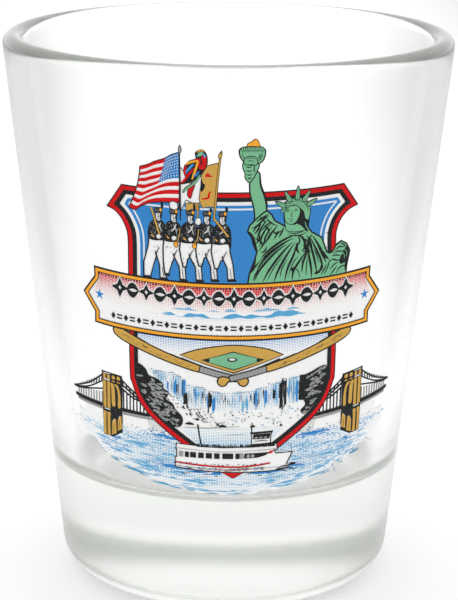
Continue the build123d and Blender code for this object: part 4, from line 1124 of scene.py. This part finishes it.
PAPER_WHITE = (0.94, 0.94, 0.935, 1)
INKS = {
    "white": ("decal_white_underprint", PAPER_WHITE),
    "red": ("decal_red_ink", (0.64, 0.002, 0.006, 1)),
    "black": ("decal_black_ink", (0.011, 0.013, 0.014, 1)),
    "blue": ("decal_blue_ink", (0.036, 0.236, 0.6, 1)),
    "sky": ("decal_sky_blue_ink", (0.10, 0.39, 0.66, 1)),
    "green": ("decal_green_ink", (0.195, 0.5, 0.28, 1)),
    "tan": ("decal_tan_ink", (0.63, 0.37, 0.075, 1)),
    "gold": ("decal_gold_ink", (0.95, 0.40, 0.03, 1)),
    "grey": ("decal_grey_ink", (0.33, 0.34, 0.335, 1)),
}
DOT_PITCH = 0.175
DOT_EDGE = 0.06
INK_MOTTLE = 0.05
INK_SPECULAR = 0.07
INK_ROUGHNESS = (0.38, 0.58)

GLASS_WHITE = (0.99, 0.993, 0.99, 1)
GLASS_IOR = 1.5
ABSORBED, ABSORPTION = (0.82, 0.836, 0.81, 1), 26.0
# the pressed foot is hazier than the fire-polished wall; heights in metres
HAZE_HEIGHTS = (-0.003, 0.021)
FOOT_TO_WALL_ROUGHNESS = (0.33, 0.07)


def new_material(name):
    material = bpy.data.materials.new(name)
    material.use_nodes = True
    return material, material.node_tree, material.node_tree.nodes["Principled BSDF"]


def node(tree, kind, inputs=(), **settings):
    """Adds a node, sets its properties, and links or sets its inputs."""
    made = tree.nodes.new(kind)
    for key, value in settings.items():
        setattr(made, key, value)
    for key, value in dict(inputs).items():
        if isinstance(value, bpy.types.NodeSocket):
            tree.links.new(value, made.inputs[key])
        else:
            made.inputs[key].default_value = value
    return made


def mapped(tree, value, start, end, **settings):
    """The value moved from one range onto another, held at its ends."""
    ranges = {"From Min": start[0], "From Max": start[1], "To Min": end[0], "To Max": end[1]}
    return node(tree, "ShaderNodeMapRange", {"Value": value, **ranges}, **settings).outputs[0]


def reckoned(tree, operation, *values, kind="ShaderNodeMath"):
    """A sum, product or other reckoning of one or two values."""
    return node(tree, kind, dict(enumerate(values)), operation=operation).outputs[0]


def halftone(tree):
    """1 where a halftone dot is printed and 0 between dots, for the stored coverage."""
    uv = node(tree, "ShaderNodeUVMap", uv_map="decal_mm")
    scale = 2 * math.pi / DOT_PITCH / 1.414
    turned = node(tree, "ShaderNodeMapping", {"Vector": uv.outputs[0], "Rotation": (0, 0, math.radians(45)),
                                              "Scale": (scale, scale, 1)})
    split = node(tree, "ShaderNodeSeparateXYZ", {0: turned.outputs[0]})
    waves = [reckoned(tree, "COSINE", split.outputs[k]) for k in (0, 1)]
    threshold = mapped(tree, reckoned(tree, "MULTIPLY", *waves), (-1.0, 1.0), (1.0, 0.0))
    coverage = node(tree, "ShaderNodeAttribute", attribute_name="coverage").outputs["Fac"]
    over = reckoned(tree, "SUBTRACT", coverage, threshold)
    return mapped(tree, over, (-DOT_EDGE, DOT_EDGE), (0.0, 1.0))


def ink_material(name, colour):
    """Uneven fired enamel: a mottled halftone colour with a fine orange-peel relief."""
    material, tree, shader = new_material(name)
    tint = node(tree, "ShaderNodeMix", {0: halftone(tree), 6: PAPER_WHITE, 7: colour}, data_type="RGBA")
    uv = node(tree, "ShaderNodeUVMap", uv_map="decal_mm")
    mottle = node(tree, "ShaderNodeTexNoise",
                  {"Vector": uv.outputs[0], "Scale": 2.6, "Detail": 6.0, "Roughness": 0.7})
    shade = mapped(tree, mottle.outputs["Fac"], (0.3, 0.7), (1 - INK_MOTTLE, 1 + INK_MOTTLE))
    scaled = node(tree, "ShaderNodeVectorMath", {0: tint.outputs[2], "Scale": shade}, operation="SCALE")
    tree.links.new(scaled.outputs[0], shader.inputs["Base Color"])
    peel = node(tree, "ShaderNodeTexNoise", {"Vector": uv.outputs[0], "Scale": 9.0, "Detail": 3.0})
    relief = {"Height": peel.outputs["Fac"], "Strength": 0.25, "Distance": 0.00004}
    tree.links.new(node(tree, "ShaderNodeBump", relief).outputs[0], shader.inputs["Normal"])
    tree.links.new(mapped(tree, mottle.outputs["Fac"], (0.0, 1.0), INK_ROUGHNESS),
                   shader.inputs["Roughness"])
    shader.inputs["Specular IOR Level"].default_value = INK_SPECULAR
    return material


def glass_material():
    """Clear pressed glass, faintly wavy on its skin, grey-green in its depth."""
    material, tree, shader = new_material("pressed_glass")
    spot = node(tree, "ShaderNodeTexCoord").outputs["Object"]
    swirl = node(tree, "ShaderNodeTexNoise", {"Vector": spot, "Scale": 60.0, "Detail": 2.0})
    waves = {"Height": swirl.outputs["Fac"], "Strength": 0.12, "Distance": 0.0002}
    tree.links.new(node(tree, "ShaderNodeBump", waves).outputs[0], shader.inputs["Normal"])
    height = node(tree, "ShaderNodeSeparateXYZ", {"Vector": spot}).outputs[2]
    tree.links.new(mapped(tree, height, HAZE_HEIGHTS, FOOT_TO_WALL_ROUGHNESS), shader.inputs["Roughness"])
    shader.inputs["Base Color"].default_value = GLASS_WHITE
    shader.inputs["IOR"].default_value = GLASS_IOR
    shader.inputs["Transmission Weight"].default_value = 1.0
    body = node(tree, "ShaderNodeVolumeAbsorption", {"Color": ABSORBED, "Density": ABSORPTION})
    tree.links.new(body.outputs[0], tree.nodes["Material Output"].inputs["Volume"])
    return material


# ---------------------------------------------------------------- the glass body


def arc_points(centre, radius, start, end, steps):
    angles = np.radians(np.linspace(start, end, steps + 1))
    return [(centre[0] + radius * math.cos(a), centre[1] + radius * math.sin(a)) for a in angles]


def straight(a, b, count):
    """The points between two others that cut their line into equal pieces."""
    return [(a[0] + (b[0] - a[0]) * i / count, a[1] + (b[1] - a[1]) * i / count) for i in range(1, count)]


def fillet(before, corner, after, radius, steps):
    """Points of the arc of a given radius that rounds a corner."""
    c = np.array(corner, float)
    u, v = np.array(before, float) - c, np.array(after, float) - c
    u, v = u / np.linalg.norm(u), v / np.linalg.norm(v)
    half = math.acos(max(-1.0, min(1.0, float(u @ v)))) / 2
    reach = radius / math.tan(half)
    middle = c + (u + v) / np.linalg.norm(u + v) * radius / math.sin(half)
    a, b = c + u * reach, c + v * reach
    start = math.atan2(a[1] - middle[1], a[0] - middle[0])
    sweep = math.atan2(b[1] - middle[1], b[0] - middle[0]) - start
    sweep = (sweep + math.pi) % (2 * math.pi) - math.pi
    angles = [start + sweep * i / steps for i in range(steps + 1)]
    return [(middle[0] + radius * math.cos(t), middle[1] + radius * math.sin(t)) for t in angles]


def dome(radius, rise, base, count, down=False):
    """(radius, height) points of a shallow spherical cap from its edge to the axis."""
    ball = (radius**2 + rise**2) / (2 * rise)
    points = []
    for i in range(count + 1):
        r = radius * (1 - i / count)
        lift = rise - ball + math.sqrt(ball**2 - r**2)
        points.append((r, base - lift if down else base + lift))
    return points


def glass_profile():
    """(radius, height) points of the tumbler, from the middle of its foot over the lip to the cavity."""
    lip = WALL_AT_RIM / 2
    middle = (outer_radius(HEIGHT - lip) - lip / math.cos(CONE), HEIGHT - lip)
    tilt = math.degrees(CONE)
    floor_radius = outer_radius(FLOOR_HEIGHT) - WALL_AT_FLOOR
    lip_run = arc_points(middle, lip, -tilt, 180 - tilt, 28)
    punt = dome(PUNT_RADIUS, PUNT_DEPTH, 0.0, 14)[::-1]
    heel = fillet((PUNT_RADIUS, 0), (FOOT_RADIUS, 0), lip_run[0], HEEL_RADIUS, 20)
    floor_point = (floor_radius - 5, FLOOR_HEIGHT - 0.2)
    corner = fillet(lip_run[-1], (floor_radius, FLOOR_HEIGHT), floor_point, FLOOR_CORNER, 16)
    floor = dome(corner[-1][0], FLOOR_DISH * 0.8, corner[-1][1], 18, down=True)[1:]
    outside = punt + straight(punt[-1], heel[0], 3) + heel + straight(heel[-1], lip_run[0], 20) + lip_run
    return outside + straight(lip_run[-1], corner[0], 20) + corner + floor


def lathe(name, profile, turns):
    """A closed surface turned about Z from a profile that starts and ends on the axis."""
    ring = np.linspace(0, 2 * math.pi, turns, endpoint=False)
    inner = profile[1:-1]
    vertices = [(0, 0, profile[0][1] * MM)]
    for r, z in inner:
        vertices += [(r * math.cos(a) * MM, r * math.sin(a) * MM, z * MM) for a in ring]
    vertices.append((0, 0, profile[-1][1] * MM))
    last = len(vertices) - 1
    faces = []
    for k in range(turns):
        n = (k + 1) % turns
        faces.append((0, 1 + n, 1 + k))
        for row in range(len(inner) - 1):
            a, b = 1 + row * turns, 1 + (row + 1) * turns
            faces.append((a + k, a + n, b + n, b + k))
        a = 1 + (len(inner) - 1) * turns
        faces.append((a + k, a + n, last))
    mesh = bpy.data.meshes.new(name)
    mesh.from_pydata(vertices, [], faces)
    mesh.validate()
    mesh.shade_smooth()
    return add_object(name, mesh)


# ---------------------------------------------------------------- building the object


def build_glass():
    glass = lathe("glass_tumbler", glass_profile(), GLASS_TURNS)
    glass.data.materials.append(glass_material())
    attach(glass, "root")
    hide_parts("glass_body")


def build_decal():
    """One film per ink, each lying on the white underprint that runs beneath the whole drawing."""
    draw_print()
    flat, triangles, top = partition()
    for key, (slot, colour) in INKS.items():
        under = key == "white"
        inked = [i for i, (name, _, _) in enumerate(PRINT) if name == key]
        chosen = top >= 0 if under else np.isin(top, inked)
        part, above = triangles[chosen], top[chosen]
        tones = np.ones((len(part), 3))
        for index in [] if under else np.unique(above):
            tone = PRINT[index][2]
            if tone is not None:
                rows = above == index
                corners = flat[part[rows]]
                tones[rows] = tone(corners[..., 0], corners[..., 1])
        low = (0 if under else INK_FILM) - INK_SUNK
        piece = film(key + "_print", flat, part, tones, low, low + INK_FILM)
        piece.data.materials.append(ink_material(key + "_enamel", colour))
        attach(piece, "root")
        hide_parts(slot)


# ---------------------------------------------------------------- floor, light and camera

FLOOR_HALF_SIDE, FLOOR_GAP = 3, 0.0001
TABLE_WHITE, TABLE_ROUGHNESS = (0.74, 0.74, 0.74, 1), 0.8
# a light table: it glows under the glass and fades out to both sides; distances along X in metres
TABLE_GLOW = 0.325
GLOW_LEFT, GLOW_RIGHT = (-0.1, -0.035), (0.04, 0.12)
# the room is white behind the glass and greyer towards the front, with a pale band low down all round
ROOM_LIGHT = 1.3
FRONT_OF_ROOM, BACK_OF_ROOM, BACK_STARTS = (0.45, 0.46, 0.45, 1), (1, 1, 1, 1), 0.75
LOW_BAND, LOW_BAND_TOP = 0.36, 0.35

CAMERA_DISTANCE, CAMERA_HEIGHT = 234.435, 94.319
CAMERA_TURN = math.radians(-2.0)
CAMERA_PITCH, CAMERA_ROLL = math.radians(15.341), math.radians(0.498)
LENS, SENSOR, SHIFT = 131.4618, 36.0, 0.00425833
NEAREST, FARTHEST = 0.01, 10
# light crosses the four glass surfaces, and bounces inside the foot, many times before it dies out
BOUNCES = {"max_bounces": 48, "transmission_bounces": 48, "glossy_bounces": 32}


def add_floor():
    s = FLOOR_HALF_SIDE
    mesh = bpy.data.meshes.new("floor")
    mesh.from_pydata([(x, y, -FLOOR_GAP) for x, y in ((-s, -s), (s, -s), (s, s), (-s, s))], [],
                     [(0, 1, 2, 3)])
    material, tree, shader = new_material("white_table")
    shader.inputs["Base Color"].default_value = TABLE_WHITE
    shader.inputs["Emission Color"].default_value = (1, 1, 1, 1)
    shader.inputs["Roughness"].default_value = TABLE_ROUGHNESS
    spot = node(tree, "ShaderNodeTexCoord").outputs["Object"]
    across = node(tree, "ShaderNodeSeparateXYZ", {0: spot}).outputs[0]
    left = mapped(tree, across, GLOW_LEFT, (0.0, TABLE_GLOW), interpolation_type="SMOOTHSTEP")
    right = mapped(tree, across, GLOW_RIGHT, (TABLE_GLOW, 0.0), interpolation_type="SMOOTHSTEP")
    tree.links.new(reckoned(tree, "MINIMUM", left, right), shader.inputs["Emission Strength"])
    mesh.materials.append(material)
    add_object("floor", mesh)


def add_light():
    world = bpy.data.worlds.new("studio")
    bpy.context.scene.world = world
    world.use_nodes = True
    tree = world.node_tree
    way = node(tree, "ShaderNodeTexCoord").outputs["Generated"]
    _, back, up = node(tree, "ShaderNodeSeparateXYZ", {0: way}).outputs
    ramp = node(tree, "ShaderNodeValToRGB", {0: mapped(tree, back, (-1.0, 1.0), (0.0, 1.0))})
    front_stop, back_stop = ramp.color_ramp.elements
    front_stop.color = FRONT_OF_ROOM
    back_stop.color, back_stop.position = BACK_OF_ROOM, BACK_STARTS
    band = mapped(tree, up, (0.0, LOW_BAND_TOP), (LOW_BAND, 0.0))
    raised = reckoned(tree, "ADD", ramp.outputs[0], band, kind="ShaderNodeVectorMath")
    colour = reckoned(tree, "MINIMUM", raised, (1, 1, 1), kind="ShaderNodeVectorMath")
    tree.links.new(colour, tree.nodes["Background"].inputs["Color"])
    tree.nodes["Background"].inputs["Strength"].default_value = ROOM_LIGHT


def add_camera():
    data = bpy.data.cameras.new("camera")
    data.sensor_width, data.lens, data.shift_x = SENSOR, LENS, SHIFT
    data.clip_start, data.clip_end = NEAREST, FARTHEST
    camera = add_object("camera", data)
    away = Vector((math.sin(CAMERA_TURN), -math.cos(CAMERA_TURN), 0))
    camera.location = away * CAMERA_DISTANCE * MM
    camera.location.z = CAMERA_HEIGHT * MM
    look = -away * math.cos(CAMERA_PITCH)
    look.z = -math.sin(CAMERA_PITCH)
    camera.rotation_mode = "QUATERNION"
    camera.rotation_quaternion = look.to_track_quat("-Z", "Y") @ Quaternion((0, 0, 1), CAMERA_ROLL)
    bpy.context.scene.camera = camera


build_glass()
build_decal()
add_floor()
add_light()
add_camera()
bpy.context.scene.view_settings.view_transform = "Standard"
for setting, count in BOUNCES.items():
    setattr(bpy.context.scene.cycles, setting, count)
bpy.context.view_layer.update()
